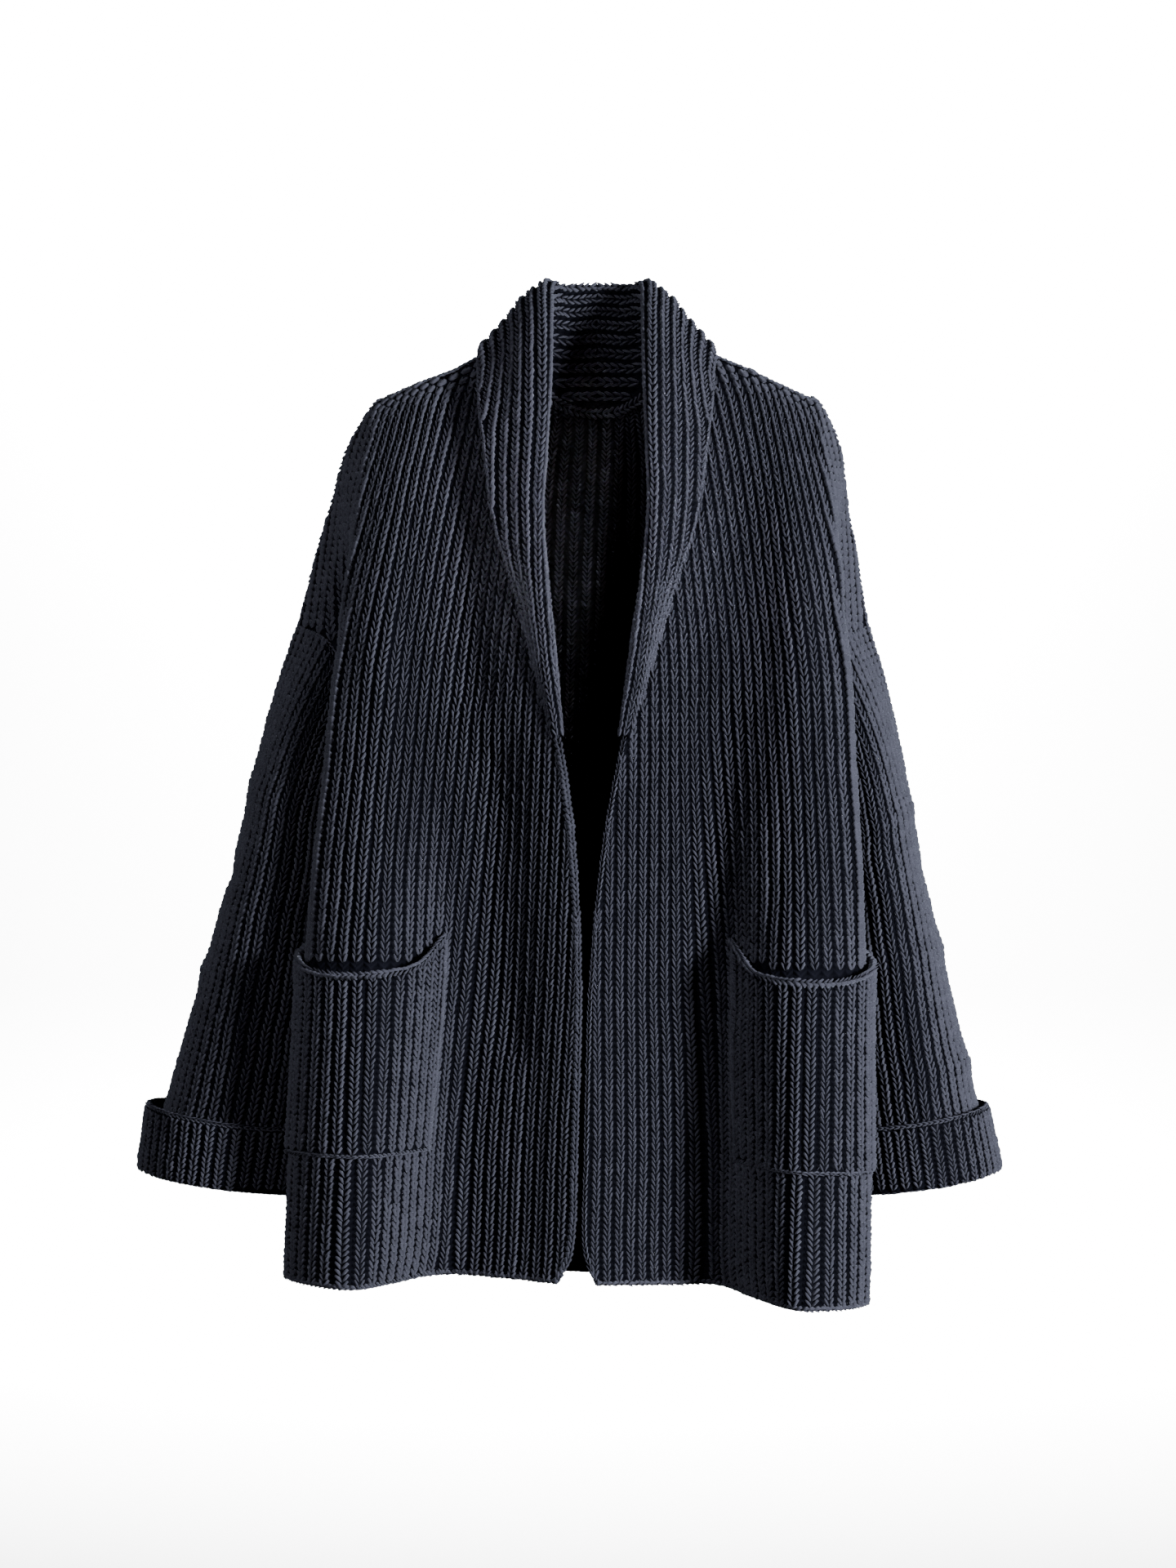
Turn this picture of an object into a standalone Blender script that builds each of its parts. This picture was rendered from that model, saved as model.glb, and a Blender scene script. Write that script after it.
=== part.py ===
"""Open-front v-neck cardigan in thick rib knit, hanging hollow as on a wearer's shoulders.

Frame: metres, +Z up, the garment faces -Y, and the wearer's left is +X.
The origin is the nape, where the collar is sewn to the middle of the back neck.
A cloth piece is a wall that is worked out from sections: a section is one row of the
knit, given as a few named places across the panel, and the wall follows a smooth curve
through them. The tables give one half of the garment, and both halves are made from it.
"""

import bmesh
import bpy
import numpy as np

# ---------------------------------------------------------------- driving sizes
WALL = 0.003            # thickness of the rib knit
SEAM_GAP = 0.0003       # space between two pieces at a seam
LAY_GAP = 0.0006        # space under a piece that lies on a panel
BODY_SWAY = 0.0175      # the body swings this far to the wearer's right at the hem
SWAY_DEPTH, SWAY_MOST, SWAY_POWER = 0.75, 1.1, 1.2      # and grows on the way down
HIP_HITCH = 0.011       # the hem hangs this much higher on the right, and lower on the left
HITCH_FROM, HITCH_TO = -0.25, -0.74     # heights between which the hitch grows
HITCH_WIDTH = 0.24      # and out to this far from the middle
ARM_SWING = 0.009       # the right arm hangs this much further out, the left this much in
ARM_SWING_SHARES = {"chest": 0.35, "yoke": 0.75, "shoulder": 1.0}   # at the armhole
TUCK_SWING = 0.6        # and the share of it beside the armhole
COLOUR = (0.035, 0.038, 0.052, 1.0)
REVERSE_SHADE, SEAM_SHADE = 0.9, 1.1    # of that colour
ROUGHNESS, SHEEN = 0.95, 0.3

LEFT, RIGHT = 1, -1
SIDE_NAMES = {LEFT: "left", RIGHT: "right"}

# ---------------------------------------------------------------- front sections
# One row for each section from the hem up.
# rise: height at the front edge    droop: how much lower the section is at the side fold
# edge: the front edge, and above "break" the neckline    valley: where the cloth falls
# back beside it    ridge: the front of the hip    fold: the vertical fold at the side
# tuck: the hollow behind the fold    side: the side seam, and above "underarm" the armhole
FRONT_ROWS = (
    # name, rise, droop, edge (x, y), valley y, step y, ridge y, fold (x, y), tuck, side
    ("hem", -0.7375, 0.004, (0.0165, -0.137), -0.106, -0.157, -0.199, (0.2385, -0.155),
     (0.2395, -0.128, -0.742), (0.2320, -0.102, -0.742)),
    ("turn", -0.7050, 0.005, (0.0045, -0.139), -0.108, -0.158, -0.198, (0.2385, -0.155),
     (0.2380, -0.127, -0.710), (0.2300, -0.100, -0.710)),
    ("skirt", -0.6280, 0.007, (0.0035, -0.142), -0.111, -0.160, -0.195, (0.2375, -0.153),
     (0.2345, -0.124, -0.636), (0.2240, -0.094, -0.637)),
    ("pocket", -0.4900, 0.012, (0.0038, -0.149), -0.121, -0.157, -0.183, (0.2305, -0.148),
     (0.2240, -0.114, -0.504), (0.2110, -0.078, -0.508)),
    ("waist", -0.3750, 0.020, (0.0120, -0.158), -0.133, -0.151, -0.164, (0.2260, -0.142),
     (0.2130, -0.104, -0.399), (0.1990, -0.062, -0.407)),
    ("break", -0.2850, 0.030, (0.0265, -0.165), -0.138, -0.144, -0.152, (0.2200, -0.132),
     (0.2035, -0.095, -0.325), (0.1925, -0.050, -0.343)),
    ("underarm", -0.2000, 0.038, (0.0440, -0.158), -0.136, -0.138, -0.148, (0.2150, -0.125),
     (0.1930, -0.084, -0.258), (0.1900, -0.040, -0.292)),
    ("chest", -0.1150, 0.040, (0.0605, -0.136), -0.121, -0.123, -0.129, (0.2065, -0.113),
     (0.1900, -0.082, -0.196), (0.1960, -0.084, -0.250)),
    ("yoke", -0.0300, 0.043, (0.0720, -0.098), -0.092, -0.093, -0.094, (0.1975, -0.088),
     (0.2040, -0.084, -0.138), (0.2160, -0.083, -0.204)),
    ("shoulder", 0.0545, 0.0525, (0.0750, -0.045), -0.045, -0.045, -0.045, (0.1915, -0.045),
     (0.2200, -0.043, -0.080), (0.2445, -0.040, -0.188)),
)
FRONT_SHARES = (0.0, 0.46, 0.60, 0.745, 1.0)    # of the way across, from edge to fold
DROOP_POWER = 1.15      # the section falls faster towards the side

# ---------------------------------------------------------------- back sections
# Above them comes the shoulder row: the neck edge, and then the front's shoulder seam.
# Where the last place is None, the back meets the front's side seam.
BACK_ROWS = (
    # name, middle, under the neck point, blade, outer back, hollow under the arm, armhole
    ("hem", (0.0, 0.086, -0.760), (0.060, 0.090, -0.759), (0.122, 0.081, -0.755),
     (0.184, 0.050, -0.748), (0.2080, -0.026, -0.743), None),
    ("turn", (0.0, 0.084, -0.718), (0.060, 0.088, -0.718), (0.121, 0.080, -0.717),
     (0.182, 0.049, -0.713), (0.2055, -0.025, -0.711), None),
    ("skirt", (0.0, 0.079, -0.628), (0.060, 0.084, -0.628), (0.119, 0.077, -0.630),
     (0.175, 0.047, -0.633), (0.1980, -0.022, -0.636), None),
    ("pocket", (0.0, 0.071, -0.490), (0.059, 0.077, -0.491), (0.115, 0.072, -0.494),
     (0.167, 0.045, -0.501), (0.1880, -0.014, -0.506), None),
    ("waist", (0.0, 0.065, -0.380), (0.058, 0.071, -0.381), (0.112, 0.068, -0.385),
     (0.163, 0.044, -0.395), (0.1830, -0.008, -0.403), None),
    ("break", (0.0, 0.064, -0.292), (0.057, 0.070, -0.294), (0.110, 0.068, -0.300),
     (0.160, 0.046, -0.322), (0.1820, 0.002, -0.337), None),
    ("underarm", (0.0, 0.062, -0.212), (0.058, 0.068, -0.214), (0.111, 0.066, -0.222),
     (0.162, 0.048, -0.248), (0.1840, 0.008, -0.276), None),
    ("chest", (0.0, 0.056, -0.136), (0.061, 0.060, -0.136), (0.115, 0.056, -0.144),
     (0.172, 0.040, -0.168), (0.1880, 0.020, -0.206), (0.1960, 0.012, -0.250)),
    ("yoke", (0.0, 0.036, -0.062), (0.068, 0.033, -0.046), (0.124, 0.031, -0.058),
     (0.182, 0.014, -0.086), (0.2050, 0.006, -0.142), (0.2180, 0.006, -0.206)),
)
NECK_CURVE = 2.4        # power of the curve from the nape up to the neck point

CELLS_UP = (1, 1, 3, 2, 2, 2, 3, 3, 3)     # cells of the wall between two sections
FRONT_CELLS = (4, 2, 2, 3, 2, 3)        # and between two places of a front section
NECK_CELLS = 4
BACK_CELLS = (NECK_CELLS, 6, 5, 2, 3)
SKIRT_ROW = sum(CELLS_UP[:2])
POCKET_ROW = sum(CELLS_UP[:3])
BREAK_ROW = sum(CELLS_UP[:5])
UNDERARM_SECTION = 6
UNDERARM_ROW = sum(CELLS_UP[:UNDERARM_SECTION])
STEP_COLUMN = sum(FRONT_CELLS[:2])
FOLD_COLUMN = sum(FRONT_CELLS[:4])

# ---------------------------------------------------------------- sleeves and cuffs
# Rings down the arm: how far along, the outer and the inner point in the front view,
# half the depth from front to back, the middle's y, and how far the ring has turned from
# the armhole's shape to an oval.
SLEEVE_ROWS = (
    # name, along, outer (x, z), inner (x, z), half depth, middle y, oval
    ("cap", 0.16, (0.2635, -0.262), (0.1985, -0.318), 0.066, -0.038, 0.55),
    ("elbow", 0.45, (0.2940, -0.394), (0.2095, -0.420), 0.074, -0.036, 1.0),
    ("forearm", 0.75, (0.3305, -0.536), (0.2165, -0.556), 0.070, -0.034, 1.0),
    ("end", 1.00, (0.3580, -0.640), (0.2250, -0.6570), 0.066, -0.034, 1.0),
)
SLEEVE_CELLS = 8
TURN_UP = 0.055         # height of the turned-back cuff
CUFF_DROP = 0.012       # from the sleeve's end down to the fold at the bottom
CUFF_ROLL = 0.0032      # inner radius of that fold
CUFF_FLARE = {LEFT: (0.0010, 0.0005), RIGHT: (0.0080, 0.0020)}  # outside, and by the body

# ---------------------------------------------------------------- collar
# roll: the line where the collar turns over    lap: how far it lies over the front,
# measured from the neckline    free: its outer edge behind the neck
COLLAR_ROWS = (
    # name, roll, lap, free
    ("nape", (0.0000, 0.007, 0.1100), None, (0.000, 0.021, -0.012)),
    ("neck_side", (0.0290, 0.003, 0.1090), None, (0.060, 0.010, -0.002)),
    ("shoulder", (0.0430, -0.034, 0.1035), 0.0250, None),
    ("collar_bone", (0.0425, -0.088, 0.0560), 0.0240, None),
    ("yoke", (0.0440, -0.116, -0.0200), 0.0215, None),
    ("chest", (0.0460, -0.148, -0.1120), 0.0195, None),
    ("underarm", (0.0380, -0.168, -0.1980), 0.0110, None),
    ("break", (0.0262, -0.171, -0.2830), 0.0060, None),
)
COLLAR_ROLL = 0.0036    # inner radius of the turn-over
ROLL_SHARE = 0.3        # and at most this share of the collar's thickness there
COLLAR_LIFT = 0.0028    # the free edge lies this far off the cloth under it
COLLAR_BOW = 0.02       # the fall bows out by this share of its width
COLLAR_CELLS = (3, 1, 1, 2, 1)

# ---------------------------------------------------------------- pockets and neck tape
# A pocket is sewn from the skirt section up, and from beside the step to past the fold.
POCKET_SLANT = (0.0, 0.5)       # cells that its inner side moves in, at bottom and top
POCKET_MOUTH = (-0.4486, -0.4580)       # heights of the inner and the outer mouth corner
POCKET_SAG = 0.030      # how far the middle of the mouth hangs down
POCKET_GAPE = 0.016     # and how far it stands off the front
GAPE_POWER = 1.4        # the pocket opens faster towards its mouth
POCKET_LOWER = 0.003    # the left mouth hangs this much lower, the right this much higher
TAPE_WALL = 0.0015
TAPE_GAP = 0.0008       # it spans the bend of the seam
TAPE_BELOW, TAPE_ABOVE = 0.006, 0.004   # how far it covers the back, and the collar
SAME_POINT = 0.00005    # points this close are one point of a seam


def smooth(knots, values, at):
    """A smooth curve through rows of values, with the slopes of a Catmull-Rom spline."""
    knots, values = np.asarray(knots, float), np.asarray(values, float)
    at = np.asarray(at, float)
    step = np.diff(knots)[:, None]
    slope = np.diff(values, axis=0) / step
    tangent = np.empty_like(values)
    tangent[0], tangent[-1] = slope[0], slope[-1]
    tangent[1:-1] = (slope[:-1] * step[1:] + slope[1:] * step[:-1]) / (step[1:] + step[:-1])
    span = np.clip(np.searchsorted(knots, at, side="right") - 1, 0, len(knots) - 2)
    h = step[span]
    t = ((at - knots[span]) / h[:, 0])[:, None]
    return (values[span] * (1 + 2 * t) * (1 - t) ** 2 + tangent[span] * h * t * (1 - t) ** 2
            + values[span + 1] * t * t * (3 - 2 * t) - tangent[span + 1] * h * t * t * (1 - t))


def lengths(points):
    """Distance along a line of points, from its start."""
    return np.concatenate([[0.0], np.cumsum(np.linalg.norm(np.diff(points, axis=0), axis=1))])


def along(points, distance, far):
    """Where a line of points has been followed for a distance."""
    return np.stack([np.interp(distance, far, points[:, k]) for k in range(3)], axis=-1)


def unit(vectors):
    return vectors / np.maximum(np.linalg.norm(vectors, axis=-1, keepdims=True), 1e-12)


def cell_lines(counts):
    """The grid lines, in places: counts cells between each place and the next."""
    lines = [i + np.arange(n) / n for i, n in enumerate(counts)]
    return np.concatenate(lines + [[float(len(counts))]])


def through(places, counts, before=None, after=None):
    """Points of the smooth curve through a section's places. before and after are places
    beyond its ends, which only bend it."""
    line = [p for p in (before, *places, after) if p is not None]
    knots = lengths(np.array(line, float))
    first = 0 if before is None else 1
    at = np.interp(cell_lines(counts), np.arange(len(places)),
                   knots[first:first + len(places)])
    return smooth(knots, line, at)


# ---------------------------------------------------------------- body
def front_places(row, side):
    """The seven named places of one front section, from the edge to the side seam."""
    name, rise, droop, edge, valley, step, ridge, fold, tuck, end = row
    across = np.array(FRONT_SHARES)
    x = edge[0] + across * (fold[0] - edge[0])
    y = np.array((edge[1], valley, step, ridge, fold[1]))
    z = rise - droop * across ** DROOP_POWER
    return swing_arm(np.vstack([np.stack([x, y, z], axis=1), tuck, end]), name, side)


def back_places(row, front, side):
    """The six named places of one back section, from the middle to the side seam."""
    name, *places, armhole = row
    if armhole is None:
        return np.vstack([places, front[-1]])
    return swing_arm(np.vstack([places, armhole]), name, side)


def swing_arm(places, name, side):
    """Moves the armhole out on the right arm and in on the left."""
    share = ARM_SWING_SHARES.get(name, 0.0)
    places[-1, 0] -= side * ARM_SWING * share
    places[-2, 0] -= side * ARM_SWING * share * TUCK_SWING
    return places


def sections(tables):
    """Every place at every grid line up the body. The last place follows the side seam,
    and then the armhole, which meets it at a corner."""
    tables = np.array(tables)
    knots, lines = np.arange(len(tables)), cell_lines(CELLS_UP)
    places = [smooth(knots, tables[:, i], lines) for i in range(tables.shape[1])]
    corner = UNDERARM_SECTION
    below = lines <= corner
    places[-1][below] = smooth(knots[:corner + 1], tables[:corner + 1, -1], lines[below])
    places[-1][~below] = smooth(knots[corner:], tables[corner:, -1], lines[~below])
    return np.stack(places, axis=1)


def hitch_hip(grid, side):
    """Lifts the right side of the skirt and lets the left side down."""
    share = np.clip((grid[..., 2] - HITCH_FROM) / (HITCH_TO - HITCH_FROM), 0, 1)
    share *= np.clip(grid[..., 0] / HITCH_WIDTH, 0, 1)
    grid[..., 2] -= side * HIP_HITCH * share


def body_half(side):
    """The front and the back of one half, as grids of points, with rows from the hem up."""
    front_tables = [front_places(row, side) for row in FRONT_ROWS]
    top = front_tables[-1]
    back_tables = [back_places(row, f, side) for row, f in zip(BACK_ROWS, front_tables)]
    back_tables.append(np.array([(0, 0, 0), top[0], top[2], top[4], top[5], top[6]]))
    front, back = [], []
    for i, (f, b) in enumerate(zip(sections(front_tables), sections(back_tables))):
        joined = i <= UNDERARM_ROW
        front.append(through(f, FRONT_CELLS, after=b[-2] if joined else None))
        back.append(through(b, BACK_CELLS, before=b[1] * (-1, 1, 1),
                            after=f[-2] if joined else None))
    front, back = np.array(front), np.array(back)
    rise = np.linspace(0, 1, NECK_CELLS + 1)[:, None] ** (1, NECK_CURVE, NECK_CURVE)
    back[-1, :NECK_CELLS + 1] = rise * front[-1, 0]
    back[-1, NECK_CELLS:] = front[-1]
    hitch_hip(front, side)
    hitch_hip(back, side)
    return front, back


# ---------------------------------------------------------------- sleeves
def sleeve_rings(front, back, side):
    """Rings down the arm. Each starts on the outer side, and runs over the front, up
    under the arm and over the back."""
    armhole = np.vstack([front[UNDERARM_ROW:, -1][::-1], back[UNDERARM_ROW + 1:-1, -1]])
    turn = np.linspace(0, 2 * np.pi, len(armhole), endpoint=False)[:, None]
    rings, knots = [armhole], [0.0]
    for _, far, outer, inner, depth, middle_y, oval in SLEEVE_ROWS:
        outer = np.array((outer[0] - side * ARM_SWING, middle_y, outer[1]))
        inner = np.array((inner[0], middle_y, inner[1]))
        middle = (outer + inner) / 2
        ring = middle + np.cos(turn) * (outer - middle) - np.sin(turn) * (0, depth, 0)
        kept = middle + armhole - armhole.mean(axis=0)
        rings.append(ring * oval + kept * (1 - oval))
        knots.append(far)
    table = np.array(rings).reshape(len(rings), -1)
    lines = np.linspace(0, 1, SLEEVE_CELLS + 1)
    return smooth(knots, table, lines).reshape(len(lines), -1, 3)


def cuff_rings(sleeve, side):
    """The end of the sleeve turned back: down, round the fold, and up on the outside."""
    last = sleeve[-1]
    down = unit(last - sleeve[-2])
    out = last - last.mean(axis=0)
    out = unit(out - (out * down).sum(axis=1, keepdims=True) * down)
    outside, inside = CUFF_FLARE[side]
    share = ((last[:, 0] - last[:, 0].min()) / np.ptp(last[:, 0]))[:, None]
    flare = inside + (outside - inside) * share
    low = last + down * (CUFF_DROP - CUFF_ROLL)
    rings = [last, low, low + out * CUFF_ROLL + down * CUFF_ROLL, low + out * 2 * CUFF_ROLL]
    for part in (0.5, 1.0):
        up = down * (TURN_UP - CUFF_ROLL) * part
        rings.append(low - up + out * (2 * CUFF_ROLL + flare * part))
    return np.array(rings)


# ---------------------------------------------------------------- collar
def collar_sections(front, front_normals, back):
    """The collar from the nape round the neck and down the front to the break. A section
    runs up from the neck seam, over the roll line and down to the free edge."""
    seam = np.vstack([back[-1, :NECK_CELLS], front[BREAK_ROW:, 0][::-1]])
    far = lengths(seam)
    shoulder = NECK_CELLS
    yoke = shoulder + CELLS_UP[7]
    chest = yoke + CELLS_UP[6]
    underarm = chest + CELLS_UP[5]
    stations = (0, shoulder / 2, shoulder, (shoulder + yoke) / 2, yoke, chest, underarm,
                len(seam) - 1)
    knots = np.interp(stations, np.arange(len(seam)), far)
    rolls = smooth(knots, [row[1] for row in COLLAR_ROWS], far)
    laps = smooth(knots[2:], [[row[2]] for row in COLLAR_ROWS[2:]], far[shoulder:])[:, 0]
    edges = []
    for i, lap in enumerate(laps):
        row = len(front) - 1 - i
        reach = lengths(front[row])
        lift = COLLAR_LIFT * unit(along(front_normals[row], lap, reach))
        edges.append(along(front[row], lap, reach) + lift)
    behind = smooth([*knots[:3], far[shoulder + 1]],
                    [COLLAR_ROWS[0][3], COLLAR_ROWS[1][3], edges[0], edges[1]], far[:shoulder])
    grid = []
    for start, roll, edge in zip(seam, rolls, np.vstack([behind, edges])):
        up = unit(roll - (start + edge) / 2)
        out = edge - start
        out = unit(out - np.dot(out, up) * up)
        radius = min(COLLAR_ROLL, ROLL_SHARE * np.linalg.norm(edge - start))
        middle = roll - up * radius
        turned = middle + out * radius
        fall = (turned + edge) / 2 + out * COLLAR_BOW * np.linalg.norm(edge - turned)
        grid.append(through([start, middle - out * radius, roll, turned, fall, edge],
                            COLLAR_CELLS))
    return np.array(grid)


# ---------------------------------------------------------------- what lies on a panel
def pocket_patch(front, normals, side):
    """A pocket, made from the front's own points and moved out. It is sewn at its sides
    and bottom, and its mouth sags open."""
    sewn = POCKET_ROW - SKIRT_ROW + 1
    slant = np.linspace(*POCKET_SLANT, sewn + 1)[:, None]

    def patch(grid):
        rows = grid[SKIRT_ROW:SKIRT_ROW + sewn + 1]
        inner = rows[:, STEP_COLUMN - 1] * (1 - slant) + rows[:, STEP_COLUMN - 2] * slant
        return np.hstack([inner[:, None], rows[:, STEP_COLUMN:FOLD_COLUMN + 2]])

    points, away = patch(front), unit(patch(normals))
    reach = lengths(points[-1])
    share = reach / reach[-1]
    mouth = (POCKET_MOUTH[0] + (POCKET_MOUTH[1] - POCKET_MOUTH[0]) * share
             - POCKET_SAG * (1 - (2 * share - 1) ** 2) - side * POCKET_LOWER)
    part = (mouth - points[-2, :, 2]) / (points[-1, :, 2] - points[-2, :, 2])
    points[-1] = points[-2] + (points[-1] - points[-2]) * part[:, None]
    rise = np.linspace(0, 1, sewn + 1)[:, None] ** GAPE_POWER
    gape = POCKET_GAPE * np.sin(np.pi * share) * rise
    return points + away * (WALL + LAY_GAP + gape)[..., None], away


def tape_half(back, back_normals, collar, collar_normals):
    """Half of the linked seam inside the back neck, from the nape to the neck point."""
    down_back = back[::-1].swapaxes(0, 1), back_normals[::-1].swapaxes(0, 1)
    up_collar = collar, collar_normals
    rows = []
    for (grid, normals), far in ((down_back, TAPE_BELOW), (up_collar, 0), (up_collar, TAPE_ABOVE)):
        inner = grid - normals * (WALL + TAPE_GAP)
        rows.append([along(line, far, lengths(line)) for line in inner[:NECK_CELLS + 1]])
    return np.array(rows)


# ---------------------------------------------------------------- walls
def normals_of(grid, closed=False):
    """Unit normals of a grid of points, from the two lines that cross at each one."""
    if closed:
        across = np.roll(grid, -1, axis=1) - np.roll(grid, 1, axis=1)
    else:
        across = np.gradient(grid, axis=1)
    return unit(np.cross(across, np.gradient(grid, axis=0)))


def share_normals(pieces):
    """Gives the points that pieces have in common one normal, so that their walls meet
    along one line through the thickness."""
    totals, keys = {}, []
    for grid, normals in pieces:
        keys.append([tuple(k) for k in np.round(grid.reshape(-1, 3) / SAME_POINT).astype(int)])
        for key, normal in zip(keys[-1], normals.reshape(-1, 3)):
            totals[key] = totals.get(key, 0) + normal
    for (_, normals), key in zip(pieces, keys):
        normals[:] = unit(np.array([totals[k] for k in key])).reshape(normals.shape)


def draw_in(grid, normals, closed):
    """Draws each edge of a grid back by half the seam gap, square to the seam."""
    moved = grid.copy()
    edges = [(np.s_[0], np.s_[1]), (np.s_[-1], np.s_[-2])]
    if not closed:
        edges += [(np.s_[:, 0], np.s_[:, 1]), (np.s_[:, -1], np.s_[:, -2])]
    for edge, inside in edges:
        line = grid[edge]
        if closed:
            seam = np.roll(line, -1, axis=0) - np.roll(line, 1, axis=0)
        else:
            seam = np.gradient(line, axis=0)
        way = unit(np.cross(seam, normals[edge]))
        way *= np.sign((way * (grid[inside] - line)).sum(axis=1, keepdims=True))
        moved[edge] += way * SEAM_GAP / 2
    return moved


def sway(points):
    """The whole garment hangs a little to the wearer's right, more towards the hem."""
    down = np.clip(-points[:, 2] / SWAY_DEPTH, 0, SWAY_MOST)
    points[:, 0] -= BODY_SWAY * down ** SWAY_POWER


def add_wall(name, grid, normals, material, closed=False, wall=WALL):
    """One cloth piece: the grid is its outer skin, and its thickness lies inside."""
    rows, columns = grid.shape[:2]
    outer = draw_in(grid, normals, closed)
    points = np.concatenate([outer.reshape(-1, 3), (outer - normals * wall).reshape(-1, 3)])
    sway(points)
    shell = bmesh.new()
    verts = [shell.verts.new(p) for p in points]
    skins = [np.array(verts[k * rows * columns:(k + 1) * rows * columns],
                      dtype=object).reshape(rows, columns) for k in (0, 1)]
    if closed:
        skins = [np.hstack([skin, skin[:, :1]]) for skin in skins]
    for skin in skins:
        for low, high in zip(skin, skin[1:]):
            for corners in zip(low, low[1:], high[1:], high):
                shell.faces.new(corners)
    rims = [(skins[0][k], skins[1][k]) for k in (0, -1)]
    if not closed:
        rims += [(skins[0][:, k], skins[1][:, k]) for k in (0, -1)]
    for outside, inside in rims:
        for corners in zip(outside, outside[1:], inside[1:], inside):
            shell.faces.new(corners)
    bmesh.ops.recalc_face_normals(shell, faces=shell.faces)
    # Short edges cut the rims of two neighbours along the same diagonals.
    bmesh.ops.triangulate(shell, faces=shell.faces, quad_method="SHORT_EDGE")
    mesh = bpy.data.meshes.new(name)
    shell.to_mesh(mesh)
    shell.free()
    mesh.materials.append(material)
    mesh.shade_smooth()
    garment.objects.link(bpy.data.objects.new(name, mesh))


def wool(name, colour):
    material = bpy.data.materials.new(name)
    material.use_nodes = True
    shader = material.node_tree.nodes["Principled BSDF"]
    shader.inputs["Base Color"].default_value = colour
    shader.inputs["Roughness"].default_value = ROUGHNESS
    shader.inputs["Sheen Weight"].default_value = SHEEN
    material.diffuse_color = colour
    return material


# ---------------------------------------------------------------- the garment
def half(side):
    """Every grid of one half with its normals, turned to its own side."""
    front, back = body_half(side)
    panels = {"front": (front, normals_of(front)), "back": (back, -normals_of(back))}
    share_normals(panels.values())
    collar = collar_sections(*panels["front"], back)
    arm = sleeve_rings(front, back, side)
    cuff = cuff_rings(arm, side)
    grids = {**panels,
             "collar": (collar, normals_of(collar)),
             "sleeve": (arm, normals_of(arm, closed=True)),
             "cuff": (cuff, normals_of(cuff, closed=True))}
    share_normals(grids.values())
    for piece, middle in (("back", np.s_[:, 0]), ("collar", np.s_[0])):
        normals = grids[piece][1]
        normals[middle] = unit(normals[middle] * (0, 1, 1))
    grids["pocket"] = pocket_patch(*grids["front"], side)
    tape = tape_half(*grids["back"], *grids["collar"])
    grids["tape"] = (tape, -normals_of(tape))
    return {piece: (grid * (side, 1, 1), normals * (side, 1, 1))
            for piece, (grid, normals) in grids.items()}


def join_halves(right, left):
    """One grid from both halves of a piece, which share their first column."""
    return [np.hstack([r[:, :0:-1], l]) for r, l in zip(right, left)]


for old in list(bpy.data.objects):
    bpy.data.objects.remove(old)
garment = bpy.data.collections.new("v_neck_cardigan")
bpy.context.scene.collection.children.link(garment)
face = wool("rib_knit", COLOUR)
reverse = wool("rib_knit_reverse", tuple(REVERSE_SHADE * c for c in COLOUR[:3]) + (1.0,))
linking = wool("linked_seam", tuple(SEAM_SHADE * c for c in COLOUR[:3]) + (1.0,))

halves = {side: half(side) for side in (LEFT, RIGHT)}
add_wall("back", *join_halves(halves[RIGHT]["back"], halves[LEFT]["back"]), face)
add_wall("neck_tape", *join_halves(halves[RIGHT]["tape"], halves[LEFT]["tape"]), linking,
         wall=TAPE_WALL)
for side, grids in halves.items():
    for piece in ("front", "collar", "pocket"):
        add_wall(f"{piece}_{SIDE_NAMES[side]}", *grids[piece], face)
    add_wall(f"sleeve_{SIDE_NAMES[side]}", *grids["sleeve"], face, closed=True)
    add_wall(f"cuff_{SIDE_NAMES[side]}", *grids["cuff"], reverse, closed=True)
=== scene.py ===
import bmesh
import bpy
import numpy as np
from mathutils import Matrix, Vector, kdtree


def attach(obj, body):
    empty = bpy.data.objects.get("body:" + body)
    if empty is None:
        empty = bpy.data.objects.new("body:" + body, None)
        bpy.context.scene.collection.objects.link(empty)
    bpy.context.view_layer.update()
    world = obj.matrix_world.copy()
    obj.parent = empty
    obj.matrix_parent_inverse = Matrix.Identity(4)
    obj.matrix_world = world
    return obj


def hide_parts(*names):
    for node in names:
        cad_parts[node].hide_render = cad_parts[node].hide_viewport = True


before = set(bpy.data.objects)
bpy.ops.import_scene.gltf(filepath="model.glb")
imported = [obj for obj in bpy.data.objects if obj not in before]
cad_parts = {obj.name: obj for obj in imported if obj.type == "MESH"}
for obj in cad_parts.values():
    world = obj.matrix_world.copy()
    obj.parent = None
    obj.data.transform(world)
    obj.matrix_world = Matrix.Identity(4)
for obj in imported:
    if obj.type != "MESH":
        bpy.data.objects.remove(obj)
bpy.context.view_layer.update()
print("frame loaded")

# sizes in metres: +Z up, the garment faces -Y, and +X is the wearer's left
wall = 0.003            # thickness of the rib knit
layGap = 0.0006        # space under a piece that lies on a panel
bodySway = 0.0175      # the body swings this far to the wearer's right at the hem
swayDepth, swayMost, swayPower = 0.75, 1.1, 1.2      # and grows on the way down
hipHitch = 0.011       # the hem hangs this much higher on the right, and lower on the left
hitchFrom, hitchTo = -0.25, -0.74     # heights between which the hitch grows
hitchWidth = 0.24      # and out to this far from the middle
armSwing = 0.009       # the right arm hangs this much further out, the left this much in
armSwingShares = {"chest": 0.35, "yoke": 0.75, "shoulder": 1.0}   # at the armhole
tuckSwing = 0.6        # and the share of it beside the armhole

left, right, whole = 1, -1, 0         # the sides, and a piece that is of neither
sideNames = {left: "left", right: "right"}

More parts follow.
